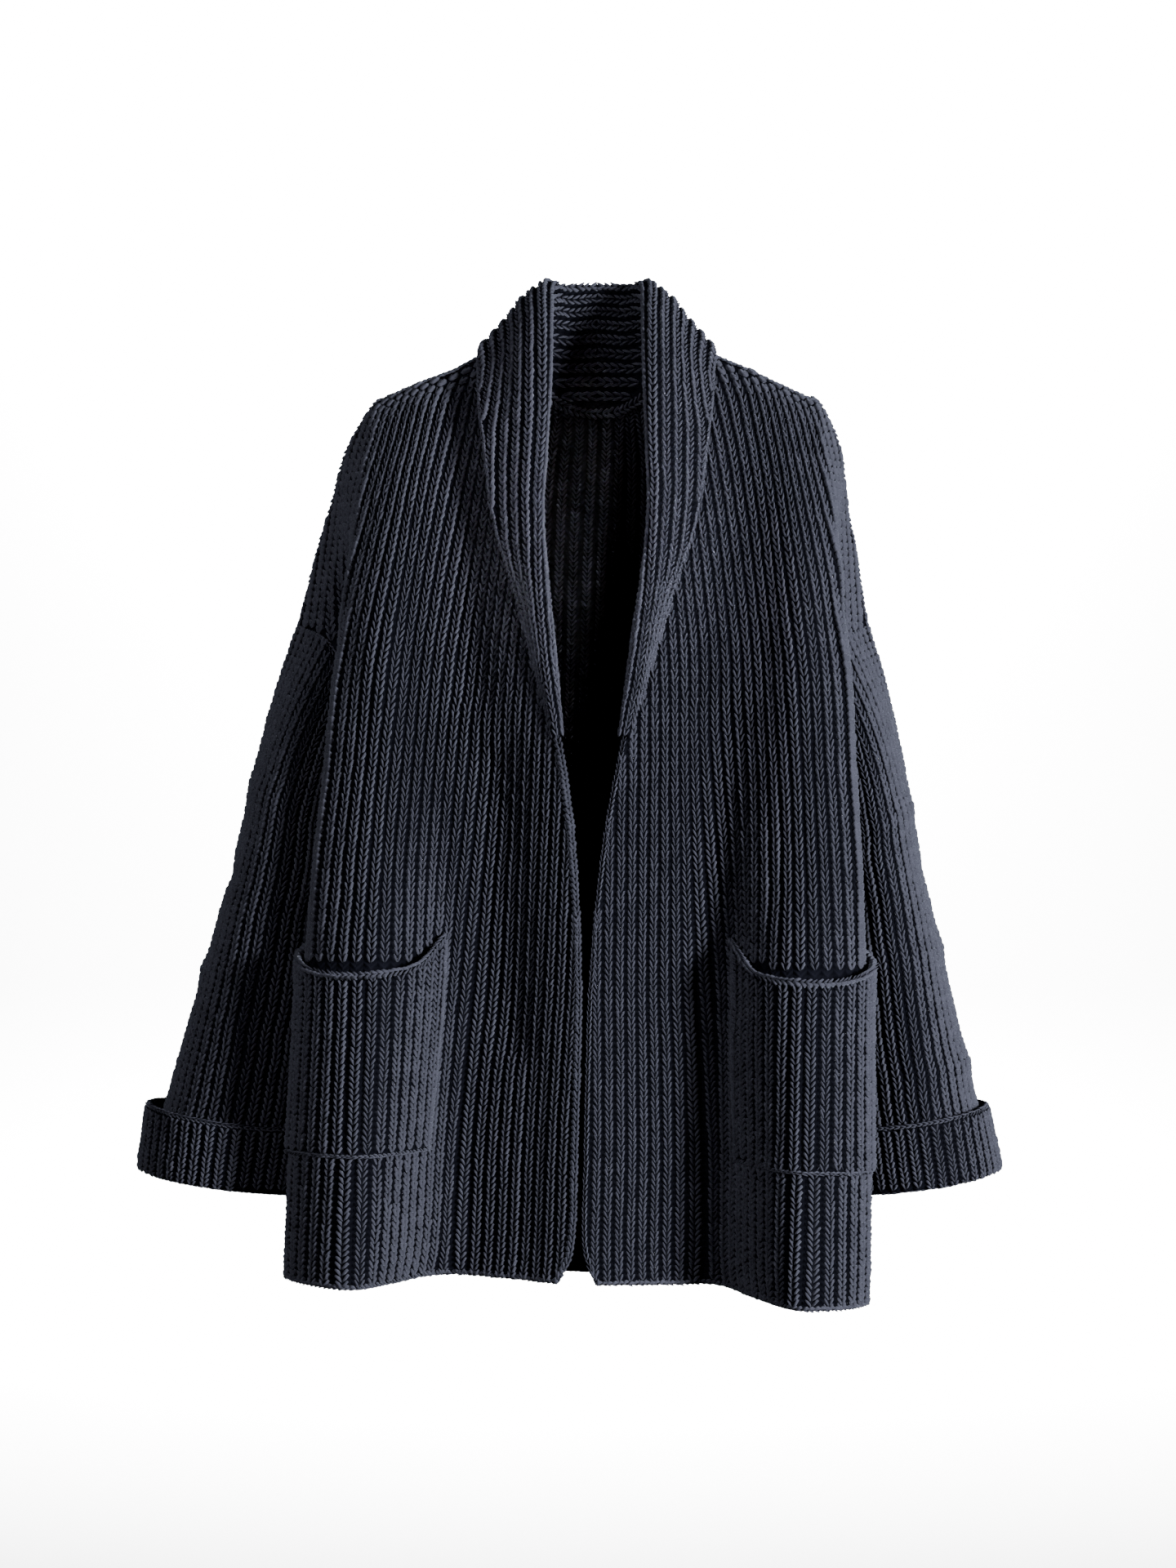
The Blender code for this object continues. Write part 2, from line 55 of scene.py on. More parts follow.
# One row for each section from the hem up.
# rise: height at the front edge    droop: how much lower the section is at the side fold
# edge: the front edge, and above "break" the neckline    valley: where the cloth falls
# back beside it    ridge: the front of the hip    fold: the vertical fold at the side
# tuck: the hollow behind the fold    side: the side seam, and above "underarm" the armhole
frontRows = (
    # name, rise, droop, edge (x, y), valley y, step y, ridge y, fold (x, y), tuck, side
    ("hem", -0.7375, 0.004, (0.0165, -0.137), -0.106, -0.157, -0.199, (0.2385, -0.155),
     (0.2395, -0.128, -0.742), (0.2320, -0.102, -0.742)),
    ("turn", -0.7050, 0.005, (0.0045, -0.139), -0.108, -0.158, -0.198, (0.2385, -0.155),
     (0.2380, -0.127, -0.710), (0.2300, -0.100, -0.710)),
    ("skirt", -0.6280, 0.007, (0.0035, -0.142), -0.111, -0.160, -0.195, (0.2375, -0.153),
     (0.2345, -0.124, -0.636), (0.2240, -0.094, -0.637)),
    ("pocket", -0.4900, 0.012, (0.0038, -0.149), -0.121, -0.157, -0.183, (0.2305, -0.148),
     (0.2240, -0.114, -0.504), (0.2110, -0.078, -0.508)),
    ("waist", -0.3750, 0.020, (0.0120, -0.158), -0.133, -0.151, -0.164, (0.2260, -0.142),
     (0.2130, -0.104, -0.399), (0.1990, -0.062, -0.407)),
    ("break", -0.2850, 0.030, (0.0265, -0.165), -0.138, -0.144, -0.152, (0.2200, -0.132),
     (0.2035, -0.095, -0.325), (0.1925, -0.050, -0.343)),
    ("underarm", -0.2000, 0.038, (0.0440, -0.158), -0.136, -0.138, -0.148, (0.2150, -0.125),
     (0.1930, -0.084, -0.258), (0.1900, -0.040, -0.292)),
    ("chest", -0.1150, 0.040, (0.0605, -0.136), -0.121, -0.123, -0.129, (0.2065, -0.113),
     (0.1900, -0.082, -0.196), (0.1960, -0.084, -0.250)),
    ("yoke", -0.0300, 0.043, (0.0720, -0.098), -0.092, -0.093, -0.094, (0.1975, -0.088),
     (0.2040, -0.084, -0.138), (0.2160, -0.083, -0.204)),
    ("shoulder", 0.0545, 0.0525, (0.0750, -0.045), -0.045, -0.045, -0.045, (0.1915, -0.045),
     (0.2200, -0.043, -0.080), (0.2445, -0.040, -0.188)),
)
frontShares = (0.0, 0.46, 0.60, 0.745, 1.0)    # of the way across, from edge to fold
droopPower = 1.15      # the section falls faster towards the side

# Above them comes the shoulder row: the neck edge, and then the front's shoulder seam.
# Where the last place is None, the back meets the front's side seam.
backRows = (
    # name, middle, under the neck point, blade, outer back, hollow under the arm, armhole
    ("hem", (0.0, 0.086, -0.760), (0.060, 0.090, -0.759), (0.122, 0.081, -0.755),
     (0.184, 0.050, -0.748), (0.2080, -0.026, -0.743), None),
    ("turn", (0.0, 0.084, -0.718), (0.060, 0.088, -0.718), (0.121, 0.080, -0.717),
     (0.182, 0.049, -0.713), (0.2055, -0.025, -0.711), None),
    ("skirt", (0.0, 0.079, -0.628), (0.060, 0.084, -0.628), (0.119, 0.077, -0.630),
     (0.175, 0.047, -0.633), (0.1980, -0.022, -0.636), None),
    ("pocket", (0.0, 0.071, -0.490), (0.059, 0.077, -0.491), (0.115, 0.072, -0.494),
     (0.167, 0.045, -0.501), (0.1880, -0.014, -0.506), None),
    ("waist", (0.0, 0.065, -0.380), (0.058, 0.071, -0.381), (0.112, 0.068, -0.385),
     (0.163, 0.044, -0.395), (0.1830, -0.008, -0.403), None),
    ("break", (0.0, 0.064, -0.292), (0.057, 0.070, -0.294), (0.110, 0.068, -0.300),
     (0.160, 0.046, -0.322), (0.1820, 0.002, -0.337), None),
    ("underarm", (0.0, 0.062, -0.212), (0.058, 0.068, -0.214), (0.111, 0.066, -0.222),
     (0.162, 0.048, -0.248), (0.1840, 0.008, -0.276), None),
    ("chest", (0.0, 0.056, -0.136), (0.061, 0.060, -0.136), (0.115, 0.056, -0.144),
     (0.172, 0.040, -0.168), (0.1880, 0.020, -0.206), (0.1960, 0.012, -0.250)),
    ("yoke", (0.0, 0.036, -0.062), (0.068, 0.033, -0.046), (0.124, 0.031, -0.058),
     (0.182, 0.014, -0.086), (0.2050, 0.006, -0.142), (0.2180, 0.006, -0.206)),
)
neckCurve = 2.4        # power of the curve from the nape up to the neck point

cellsUp = (1, 1, 3, 2, 2, 2, 3, 3, 3)     # cells of the wall between two sections
frontCells = (4, 2, 2, 3, 2, 3)        # and between two places of a front section
neckCells = 4
backCells = (neckCells, 6, 5, 2, 3)
skirtRow = sum(cellsUp[:2])
pocketRow = sum(cellsUp[:3])
breakRow = sum(cellsUp[:5])
underarmSection = 6
underarmRow = sum(cellsUp[:underarmSection])
stepColumn = sum(frontCells[:2])
foldColumn = sum(frontCells[:4])

# Rings down the arm: how far along, the outer and the inner point in the front view,
# half the depth from front to back, the middle's y, and how far the ring has turned from
# the armhole's shape to an oval.
sleeveRows = (
    # name, along, outer (x, z), inner (x, z), half depth, middle y, oval
    ("cap", 0.16, (0.2635, -0.262), (0.1985, -0.318), 0.066, -0.038, 0.55),
    ("elbow", 0.45, (0.2940, -0.394), (0.2095, -0.420), 0.074, -0.036, 1.0),
    ("forearm", 0.75, (0.3305, -0.536), (0.2165, -0.556), 0.070, -0.034, 1.0),
    ("end", 1.00, (0.3580, -0.640), (0.2250, -0.6570), 0.066, -0.034, 1.0),
)
sleeveCells = 8
turnUp = 0.055         # height of the turned-back cuff
cuffDrop = 0.012       # from the sleeve's end down to the fold at the bottom
cuffRoll = 0.0032      # inner radius of that fold
cuffFlare = {left: (0.0010, 0.0005), right: (0.0080, 0.0020)}  # outside, and by the body

# roll: the line where the collar turns over    lap: how far it lies over the front,
# measured from the neckline    free: its outer edge behind the neck
collarRows = (
    # name, roll, lap, free
    ("nape", (0.0000, 0.007, 0.1100), None, (0.000, 0.021, -0.012)),
    ("neck_side", (0.0290, 0.003, 0.1090), None, (0.060, 0.010, -0.002)),
    ("shoulder", (0.0430, -0.034, 0.1035), 0.0250, None),
    ("collar_bone", (0.0425, -0.088, 0.0560), 0.0240, None),
    ("yoke", (0.0440, -0.116, -0.0200), 0.0215, None),
    ("chest", (0.0460, -0.148, -0.1120), 0.0195, None),
    ("underarm", (0.0380, -0.168, -0.1980), 0.0110, None),
    ("break", (0.0262, -0.171, -0.2830), 0.0060, None),
)
collarRoll = 0.0036    # inner radius of the turn-over
rollShare = 0.3        # and at most this share of the collar's thickness there
collarLift = 0.0028    # the free edge lies this far off the cloth under it
collarBow = 0.02       # the fall bows out by this share of its width
collarCells = (3, 1, 1, 2, 1)

# A pocket is sewn from the skirt section up, and from beside the step to past the fold.
pocketSlant = (0.0, 0.5)       # cells that its inner side moves in, at bottom and top
pocketMouth = (-0.4486, -0.4580)       # heights of the inner and the outer mouth corner
pocketSag = 0.030      # how far the middle of the mouth hangs down
pocketGape = 0.016     # and how far it stands off the front
gapePower = 1.4        # the pocket opens faster towards its mouth
pocketLower = 0.003    # the left mouth hangs this much lower, the right this much higher
tapeWall = 0.0015
tapeGap = 0.0008       # it spans the bend of the seam
tapeBelow, tapeAbove = 0.006, 0.004   # how far it covers the back, and the collar
samePoint = 0.00005    # points this close are one point of a seam
tiny = 1e-12           # the least length that a way is divided by
nudge = 1e-9           # gives a flat spot some way to be level in


def smooth(knots, values, at):
    knots, values = np.asarray(knots, float), np.asarray(values, float)
    at = np.asarray(at, float)
    step = np.diff(knots)[:, None]
    slope = np.diff(values, axis=0) / step
    tangent = np.empty_like(values)
    tangent[0], tangent[-1] = slope[0], slope[-1]
    tangent[1:-1] = (slope[:-1] * step[1:] + slope[1:] * step[:-1]) / (step[1:] + step[:-1])
    span = np.clip(np.searchsorted(knots, at, side="right") - 1, 0, len(knots) - 2)
    h = step[span]
    t = ((at - knots[span]) / h[:, 0])[:, None]
    return (values[span] * (1 + 2 * t) * (1 - t) ** 2 + tangent[span] * h * t * (1 - t) ** 2
            + values[span + 1] * t * t * (3 - 2 * t) - tangent[span + 1] * h * t * t * (1 - t))


def lengths(points):
    return np.concatenate([[0.0], np.cumsum(np.linalg.norm(np.diff(points, axis=0), axis=1))])


def along(points, distance, far):
    return np.stack([np.interp(distance, far, points[:, k]) for k in range(3)], axis=-1)


def unit(vectors):
    return vectors / np.maximum(np.linalg.norm(vectors, axis=-1, keepdims=True), tiny)


def cellLines(counts):
    lines = [i + np.arange(n) / n for i, n in enumerate(counts)]
    return np.concatenate(lines + [[float(len(counts))]])


def through(places, counts, before=None, after=None):
    line = [p for p in (before, *places, after) if p is not None]
    knots = lengths(np.array(line, float))
    first = 0 if before is None else 1
    at = np.interp(cellLines(counts), np.arange(len(places)),
                   knots[first:first + len(places)])
    return smooth(knots, line, at)


def frontPlaces(row, side):
    name, rise, droop, edge, valley, step, ridge, fold, tuck, end = row
    across = np.array(frontShares)
    x = edge[0] + across * (fold[0] - edge[0])
    y = np.array((edge[1], valley, step, ridge, fold[1]))
    z = rise - droop * across ** droopPower
    return swingArm(np.vstack([np.stack([x, y, z], axis=1), tuck, end]), name, side)


def backPlaces(row, front, side):
    name, *places, armhole = row
    if armhole is None:
        return np.vstack([places, front[-1]])
    return swingArm(np.vstack([places, armhole]), name, side)


def swingArm(places, name, side):
    share = armSwingShares.get(name, 0.0)
    places[-1, 0] -= side * armSwing * share
    places[-2, 0] -= side * armSwing * share * tuckSwing
    return places


def sections(tables):
    tables = np.array(tables)
    knots, lines = np.arange(len(tables)), cellLines(cellsUp)
    places = [smooth(knots, tables[:, i], lines) for i in range(tables.shape[1])]
    corner = underarmSection
    below = lines <= corner
    places[-1][below] = smooth(knots[:corner + 1], tables[:corner + 1, -1], lines[below])
    places[-1][~below] = smooth(knots[corner:], tables[corner:, -1], lines[~below])
    return np.stack(places, axis=1)


def hitchHip(grid, side):
    share = np.clip((grid[..., 2] - hitchFrom) / (hitchTo - hitchFrom), 0, 1)
    share *= np.clip(grid[..., 0] / hitchWidth, 0, 1)
    grid[..., 2] -= side * hipHitch * share


def bodyHalf(side):
    frontTables = [frontPlaces(row, side) for row in frontRows]
    top = frontTables[-1]
    backTables = [backPlaces(row, f, side) for row, f in zip(backRows, frontTables)]
    backTables.append(np.array([(0, 0, 0), top[0], top[2], top[4], top[5], top[6]]))
    front, back = [], []
    for i, (f, b) in enumerate(zip(sections(frontTables), sections(backTables))):
        joined = i <= underarmRow
        front.append(through(f, frontCells, after=b[-2] if joined else None))
        back.append(through(b, backCells, before=b[1] * (-1, 1, 1),
                            after=f[-2] if joined else None))
    front, back = np.array(front), np.array(back)
    rise = np.linspace(0, 1, neckCells + 1)[:, None] ** (1, neckCurve, neckCurve)
    back[-1, :neckCells + 1] = rise * front[-1, 0]
    back[-1, neckCells:] = front[-1]
    hitchHip(front, side)
    hitchHip(back, side)
    return front, back


def sleeveRings(front, back, side):
    armhole = np.vstack([front[underarmRow:, -1][::-1], back[underarmRow + 1:-1, -1]])
    turn = np.linspace(0, 2 * np.pi, len(armhole), endpoint=False)[:, None]
    rings, knots = [armhole], [0.0]
    for _, far, outer, inner, depth, middleY, oval in sleeveRows:
        outer = np.array((outer[0] - side * armSwing, middleY, outer[1]))
        inner = np.array((inner[0], middleY, inner[1]))
        middle = (outer + inner) / 2
        ring = middle + np.cos(turn) * (outer - middle) - np.sin(turn) * (0, depth, 0)
        kept = middle + armhole - armhole.mean(axis=0)
        rings.append(ring * oval + kept * (1 - oval))
        knots.append(far)
    table = np.array(rings).reshape(len(rings), -1)
    lines = np.linspace(0, 1, sleeveCells + 1)
    return smooth(knots, table, lines).reshape(len(lines), -1, 3)


def cuffRings(sleeve, side):
    last = sleeve[-1]
    down = unit(last - sleeve[-2])
    out = last - last.mean(axis=0)
    out = unit(out - (out * down).sum(axis=1, keepdims=True) * down)
    outside, inside = cuffFlare[side]
    share = ((last[:, 0] - last[:, 0].min()) / np.ptp(last[:, 0]))[:, None]
    flare = inside + (outside - inside) * share
    low = last + down * (cuffDrop - cuffRoll)
    rings = [last, low, low + out * cuffRoll + down * cuffRoll, low + out * 2 * cuffRoll]
    for part in (0.5, 1.0):
        up = down * (turnUp - cuffRoll) * part
        rings.append(low - up + out * (2 * cuffRoll + flare * part))
    return np.array(rings)


def collarSections(front, frontNormals, back):
    seam = np.vstack([back[-1, :neckCells], front[breakRow:, 0][::-1]])
    far = lengths(seam)
    shoulder = neckCells
    yoke = shoulder + cellsUp[7]
    chest = yoke + cellsUp[6]
    underarm = chest + cellsUp[5]
    stations = (0, shoulder / 2, shoulder, (shoulder + yoke) / 2, yoke, chest, underarm,
                len(seam) - 1)
    knots = np.interp(stations, np.arange(len(seam)), far)
    rolls = smooth(knots, [row[1] for row in collarRows], far)
    laps = smooth(knots[2:], [[row[2]] for row in collarRows[2:]], far[shoulder:])[:, 0]
    edges = []
    for i, lap in enumerate(laps):
        row = len(front) - 1 - i
        reach = lengths(front[row])
        lift = collarLift * unit(along(frontNormals[row], lap, reach))
        edges.append(along(front[row], lap, reach) + lift)
    behind = smooth([*knots[:3], far[shoulder + 1]],
                    [collarRows[0][3], collarRows[1][3], edges[0], edges[1]], far[:shoulder])
    grid = []
    for start, roll, edge in zip(seam, rolls, np.vstack([behind, edges])):
        up = unit(roll - (start + edge) / 2)
        out = edge - start
        out = unit(out - np.dot(out, up) * up)
        radius = min(collarRoll, rollShare * np.linalg.norm(edge - start))
        middle = roll - up * radius
        turned = middle + out * radius
        fall = (turned + edge) / 2 + out * collarBow * np.linalg.norm(edge - turned)
        grid.append(through([start, middle - out * radius, roll, turned, fall, edge],
                            collarCells))
    return np.array(grid)


def pocketPatch(front, normals, side):
    sewn = pocketRow - skirtRow + 1
    slant = np.linspace(*pocketSlant, sewn + 1)[:, None]

    def patch(grid):
        rows = grid[skirtRow:skirtRow + sewn + 1]
        inner = rows[:, stepColumn - 1] * (1 - slant) + rows[:, stepColumn - 2] * slant
        return np.hstack([inner[:, None], rows[:, stepColumn:foldColumn + 2]])

    points, away = patch(front), unit(patch(normals))
    reach = lengths(points[-1])
    share = reach / reach[-1]
    mouth = (pocketMouth[0] + (pocketMouth[1] - pocketMouth[0]) * share
             - pocketSag * (1 - (2 * share - 1) ** 2) - side * pocketLower)
    part = (mouth - points[-2, :, 2]) / (points[-1, :, 2] - points[-2, :, 2])
    points[-1] = points[-2] + (points[-1] - points[-2]) * part[:, None]
    rise = np.linspace(0, 1, sewn + 1)[:, None] ** gapePower
    gape = pocketGape * np.sin(np.pi * share) * rise
    return points + away * (wall + layGap + gape)[..., None], away


def tapeHalf(back, backNormals, collar, collarNormals):
    downBack = back[::-1].swapaxes(0, 1), backNormals[::-1].swapaxes(0, 1)
    upCollar = collar, collarNormals
    rows = []
    for (grid, normals), far in ((downBack, tapeBelow), (upCollar, 0), (upCollar, tapeAbove)):
        inner = grid - normals * (wall + tapeGap)
        rows.append([along(line, far, lengths(line)) for line in inner[:neckCells + 1]])
    return np.array(rows)


def normalsOf(grid, closed=False):
    if closed:
        across = np.roll(grid, -1, axis=1) - np.roll(grid, 1, axis=1)
    else:
        across = np.gradient(grid, axis=1)
    return unit(np.cross(across, np.gradient(grid, axis=0)))


def shareNormals(pieces):
    totals, keys = {}, []
    for grid, normals in pieces:
        keys.append([tuple(k) for k in np.round(grid.reshape(-1, 3) / samePoint).astype(int)])
        for key, normal in zip(keys[-1], normals.reshape(-1, 3)):
            totals[key] = totals.get(key, 0) + normal
    for (_, normals), key in zip(pieces, keys):
        normals[:] = unit(np.array([totals[k] for k in key])).reshape(normals.shape)


def sway(points):
    down = np.clip(-points[..., 2] / swayDepth, 0, swayMost)
    points[..., 0] -= bodySway * down ** swayPower
    return points


def half(side):
    front, back = bodyHalf(side)
    panels = {"front": (front, normalsOf(front)), "back": (back, -normalsOf(back))}
    shareNormals(panels.values())
    collar = collarSections(*panels["front"], back)
    arm = sleeveRings(front, back, side)
    cuff = cuffRings(arm, side)
    grids = {**panels,
             "collar": (collar, normalsOf(collar)),
             "sleeve": (arm, normalsOf(arm, closed=True)),
             "cuff": (cuff, normalsOf(cuff, closed=True))}
    shareNormals(grids.values())
    for piece, middle in (("back", np.s_[:, 0]), ("collar", np.s_[0])):
        normals = grids[piece][1]
        normals[middle] = unit(normals[middle] * (0, 1, 1))
    grids["pocket"] = pocketPatch(*grids["front"], side)
    tape = tapeHalf(*grids["back"], *grids["collar"])
    grids["tape"] = (tape, -normalsOf(tape))
    return {piece: (grid * (side, 1, 1), normals * (side, 1, 1))
            for piece, (grid, normals) in grids.items()}


def joinHalves(rightHalf, leftHalf):
    return [np.hstack([r[:, :0:-1], l]) for r, l in zip(rightHalf, leftHalf)]


# creases: start, end, half width, and height above (or below) the cloth
creases = (
    ((0.150, -0.120, -0.030), (0.165, -0.160, -0.330), 0.016, 0.0030),
    ((-0.165, -0.115, -0.060), (-0.190, -0.160, -0.380), 0.018, 0.0032),
    ((0.195, -0.110, -0.180), (0.150, -0.155, -0.420), 0.014, -0.0034),
    ((-0.205, -0.105, -0.210), (-0.165, -0.160, -0.400), 0.013, -0.0030),
    ((0.060, -0.150, -0.360), (0.075, -0.130, -0.600), 0.013, 0.0024),
    ((-0.075, -0.150, -0.400), (-0.095, -0.140, -0.660), 0.015, 0.0028),
    ((-0.050, -0.140, -0.560), (-0.060, -0.130, -0.740), 0.012, -0.0026),
    ((0.095, -0.125, -0.600), (0.105, -0.120, -0.740), 0.011, 0.0022),
    ((0.150, -0.190, -0.640), (0.160, -0.195, -0.750), 0.016, 0.0026),
    ((-0.150, -0.190, -0.620), (-0.165, -0.195, -0.750), 0.012, -0.0026),
    ((-0.200, -0.180, -0.660), (-0.210, -0.180, -0.750), 0.012, 0.0024),
    ((0.060, 0.060, -0.100), (0.095, 0.070, -0.420), 0.020, 0.0036),
    ((-0.080, 0.060, -0.120), (-0.100, 0.070, -0.500), 0.022, 0.0034),
    ((0.170, 0.040, -0.200), (0.120, 0.070, -0.460), 0.015, -0.0038),
    ((-0.180, 0.035, -0.220), (-0.140, 0.065, -0.430), 0.016, -0.0034),
    ((0.010, 0.066, -0.300), (-0.020, 0.080, -0.720), 0.019, -0.0030),
    ((0.130, 0.075, -0.520), (0.120, 0.080, -0.750), 0.017, 0.0034),
    ((-0.170, 0.060, -0.540), (-0.160, 0.060, -0.750), 0.018, 0.0032),
    ((0.285, -0.060, -0.330), (0.215, -0.085, -0.380), 0.011, 0.0034),
    ((0.290, -0.050, -0.395), (0.220, -0.100, -0.425), 0.010, -0.0034),
    ((0.300, -0.030, -0.460), (0.225, -0.095, -0.470), 0.012, 0.0030),
    ((0.315, -0.050, -0.560), (0.235, -0.090, -0.585), 0.011, 0.0028),
    ((-0.300, -0.060, -0.320), (-0.235, -0.085, -0.375), 0.012, 0.0032),
    ((-0.315, -0.050, -0.400), (-0.240, -0.100, -0.440), 0.011, -0.0034),
    ((-0.340, -0.040, -0.480), (-0.250, -0.095, -0.500), 0.010, 0.0030),
    ((-0.350, -0.050, -0.590), (-0.260, -0.090, -0.570), 0.012, -0.0026),
    ((-0.118, -0.090, 0.015), (-0.106, -0.145, -0.240), 0.024, -0.0115),
    ((-0.086, -0.138, -0.310), (-0.076, -0.128, -0.530), 0.024, -0.0090),
    ((0.104, -0.142, -0.270), (0.094, -0.128, -0.500), 0.026, -0.0115),
    ((0.098, -0.110, -0.540), (0.096, -0.106, -0.760), 0.020, -0.0080),
    ((0.280, 0.010, -0.350), (0.220, 0.030, -0.400), 0.012, 0.0030),
    ((0.310, 0.010, -0.490), (0.235, 0.030, -0.470), 0.012, -0.0030),
    ((-0.300, 0.010, -0.370), (-0.235, 0.030, -0.410), 0.013, 0.0032),
    ((-0.345, 0.010, -0.520), (-0.250, 0.030, -0.540), 0.012, -0.0028),
)

creaseDepth = 0.45     # a distance from front to back counts this much beside the others


def creased(points, normals):
    lift = np.zeros(points.shape[:-1])
    for start, end, width, height in creases:
        start, run = np.array(start), np.array(end) - np.array(start)
        part = np.clip(((points - start) @ run) / (run @ run), 0, 1)[..., None]
        gap = (points - start - part * run) * (1, creaseDepth, 1)
        lift += height * np.exp(-(gap ** 2).sum(axis=-1) / width ** 2)
    return points + normals * lift[..., None]


def refined(grid, steps, closed=False):
    around = 3             # a closed grid runs on this far past its seam, so that it stays smooth
    if closed:
        grid = np.hstack([grid[:, -around:], grid, grid[:, :around + 1]])
    for axis, n in enumerate(steps):
        line = np.moveaxis(grid, axis, 0)
        at = np.linspace(0, len(line) - 1, (len(line) - 1) * n + 1)
        fine = smooth(np.arange(len(line)), line.reshape(len(line), -1), at)
        grid = np.moveaxis(fine.reshape(len(at), *line.shape[1:]), 0, axis)
    if closed:
        grid = grid[:, around * steps[1]:-(around * steps[1])]
    return grid


def skinOf(grid, normals, steps, closed=False):
    points = refined(grid, steps, closed)
    out = unit(refined(normals, steps, closed))
    return {"points": creased(sway(points), out), "out": out, "closed": closed}


def turnedOver(skin, thick=wall):       # the other face, which shows where cloth folds back
    return {**skin, "points": skin["points"] - skin["out"] * thick, "out": -skin["out"]}


halves = {side: half(side) for side in (left, right)}
print("cloth sections made")

# the plain cloth under the stitches: how far its two faces lie inside the outer skin
shell = {"outer": 0.0010, "inner": 0.0028}


def addObject(name, data):
    obj = bpy.data.objects.new(name, data)
    bpy.context.scene.collection.objects.link(obj)
    return obj


def quadsOf(corner):
    return np.stack([corner[:-1, :-1], corner[:-1, 1:], corner[1:, 1:], corner[1:, :-1]],
                    axis=-1).reshape(-1, 4)


def finishMesh(work, mesh):     # with all its faces outwards
    bmesh.ops.recalc_face_normals(work, faces=work.faces)
    work.to_mesh(mesh)
    work.free()
    mesh.shade_smooth()


def clothShell(name, skin, uv):
    layers = [skin["points"] - skin["out"] * shell[face] for face in ("outer", "inner")]
    spot = np.arange(uv[..., 0].size).reshape(uv.shape[:2])
    if skin["closed"]:
        layers = [layer[:, :-1] for layer in layers]
    count = layers[0][..., 0].size
    corner = np.arange(count).reshape(layers[0].shape[:2])
    if skin["closed"]:
        corner = np.hstack([corner, corner[:, :1]])
    faces = [quadsOf(corner), quadsOf(corner)[:, ::-1] + count]
    spots = [uv.reshape(-1, 2)[quadsOf(spot)], uv.reshape(-1, 2)[quadsOf(spot)[:, ::-1]]]
    rims = [(corner[0], uv[0]), (corner[-1][::-1], uv[-1][::-1])]
    if not skin["closed"]:
        rims += [(corner[::-1, 0], uv[::-1, 0]), (corner[:, -1], uv[:, -1])]
    for line, at in rims:
        faces.append(np.stack([line[1:], line[:-1], line[:-1] + count, line[1:] + count], axis=-1))
        spots.append(np.stack([at[1:], at[:-1], at[:-1], at[1:]], axis=1))
    mesh = bpy.data.meshes.new(name)
    mesh.from_pydata(np.vstack([layer.reshape(-1, 3) for layer in layers]).tolist(), [],
                     np.vstack(faces).tolist())
    knitMap = mesh.uv_layers.new(name="knit")
    knitMap.data.foreach_set("uv", np.vstack(spots).reshape(-1).astype(np.float32))
    work = bmesh.new()
    work.from_mesh(mesh)
    finishMesh(work, mesh)
    return addObject(name, mesh)


def gaugeAt(table, heights):
    return np.interp(heights, *zip(*table))


# across and up count wales and courses at each point of a skin, from a gauge
def phases(skin, gauge, column=0):
    points = skin["points"]
    far = np.cumsum(np.linalg.norm(np.diff(points, axis=1, prepend=points[:, :1]), axis=2), axis=1)
    if "count" in gauge:
        across = far / far[:, -1:] * gauge["count"]
    else:
        width = gaugeAt(gauge["wale"], points[:, column, 2])[:, None]
        across = (far - far[:, column:column + 1]) / width
    spine = points[:, column]
    high = gaugeAt(gauge["course"], (spine[1:, 2] + spine[:-1, 2]) / 2)
    up = np.concatenate([[0], np.cumsum(np.linalg.norm(np.diff(spine, axis=0), axis=1) / high)])
    up *= round(up[-1]) / up[-1]
    return across, np.broadcast_to(up[:, None], across.shape)


# the same for a panel whose wales hang plumb: the counts that fit best from point to point
def plumbPhases(grid, normals, gauge, steps, column):
    level = unit(np.cross((0, 0, 1), normals) + nudge)
    level *= np.sign(((grid[:, 1:] - grid[:, :-1]) * level[:, 1:]).sum())
    climb = np.cross(normals, level)
    climb *= np.sign(climb[..., 2:3])
    order = np.arange(grid[..., 0].size).reshape(grid.shape[:2])
    pairs = np.vstack([np.stack([order[:, :-1].ravel(), order[:, 1:].ravel()], axis=1),
                       np.stack([order[:-1].ravel(), order[1:].ravel()], axis=1)])
    points, level, climb = (values.reshape(-1, 3) for values in (grid, level, climb))
    edge = points[pairs[:, 1]] - points[pairs[:, 0]]
    heights = points[pairs, 2].mean(axis=1)
    matrix = np.zeros((len(pairs) + 1, order.size))
    matrix[np.arange(len(pairs)), pairs[:, 0]] = -1
    matrix[np.arange(len(pairs)), pairs[:, 1]] = 1
    matrix[-1, order[0, column]] = 1
    fields = []
    for ways, table in ((level, gauge["wale"]), (climb, gauge["course"])):
        rise = (edge * ways[pairs].mean(axis=1)).sum(axis=1) / gaugeAt(table, heights)
        field = np.linalg.lstsq(matrix, np.append(rise, 0), rcond=None)[0]
        fields.append(refined(field.reshape(*order.shape, 1), steps)[..., 0])
    return fields


# A run of stitches is four lists: their centres, the ways up and out, and their sizes.
lattice = {"margin": 0.0030,      # no stitch is closer than this to the skin's edge
           "oversize": 1.7,       # nor wider or taller than this many usual ones
           "crossed": (4, 6),     # a triangle spans at most this many wales and courses
           "flattest": 1e-4, "smallest": 1e-6}     # the least turn of a cell, and of a triangle
centreAt, outAt, wideAt, tallAt, roomAt = slice(0, 3), slice(3, 6), slice(6, 9), slice(9, 12), 12


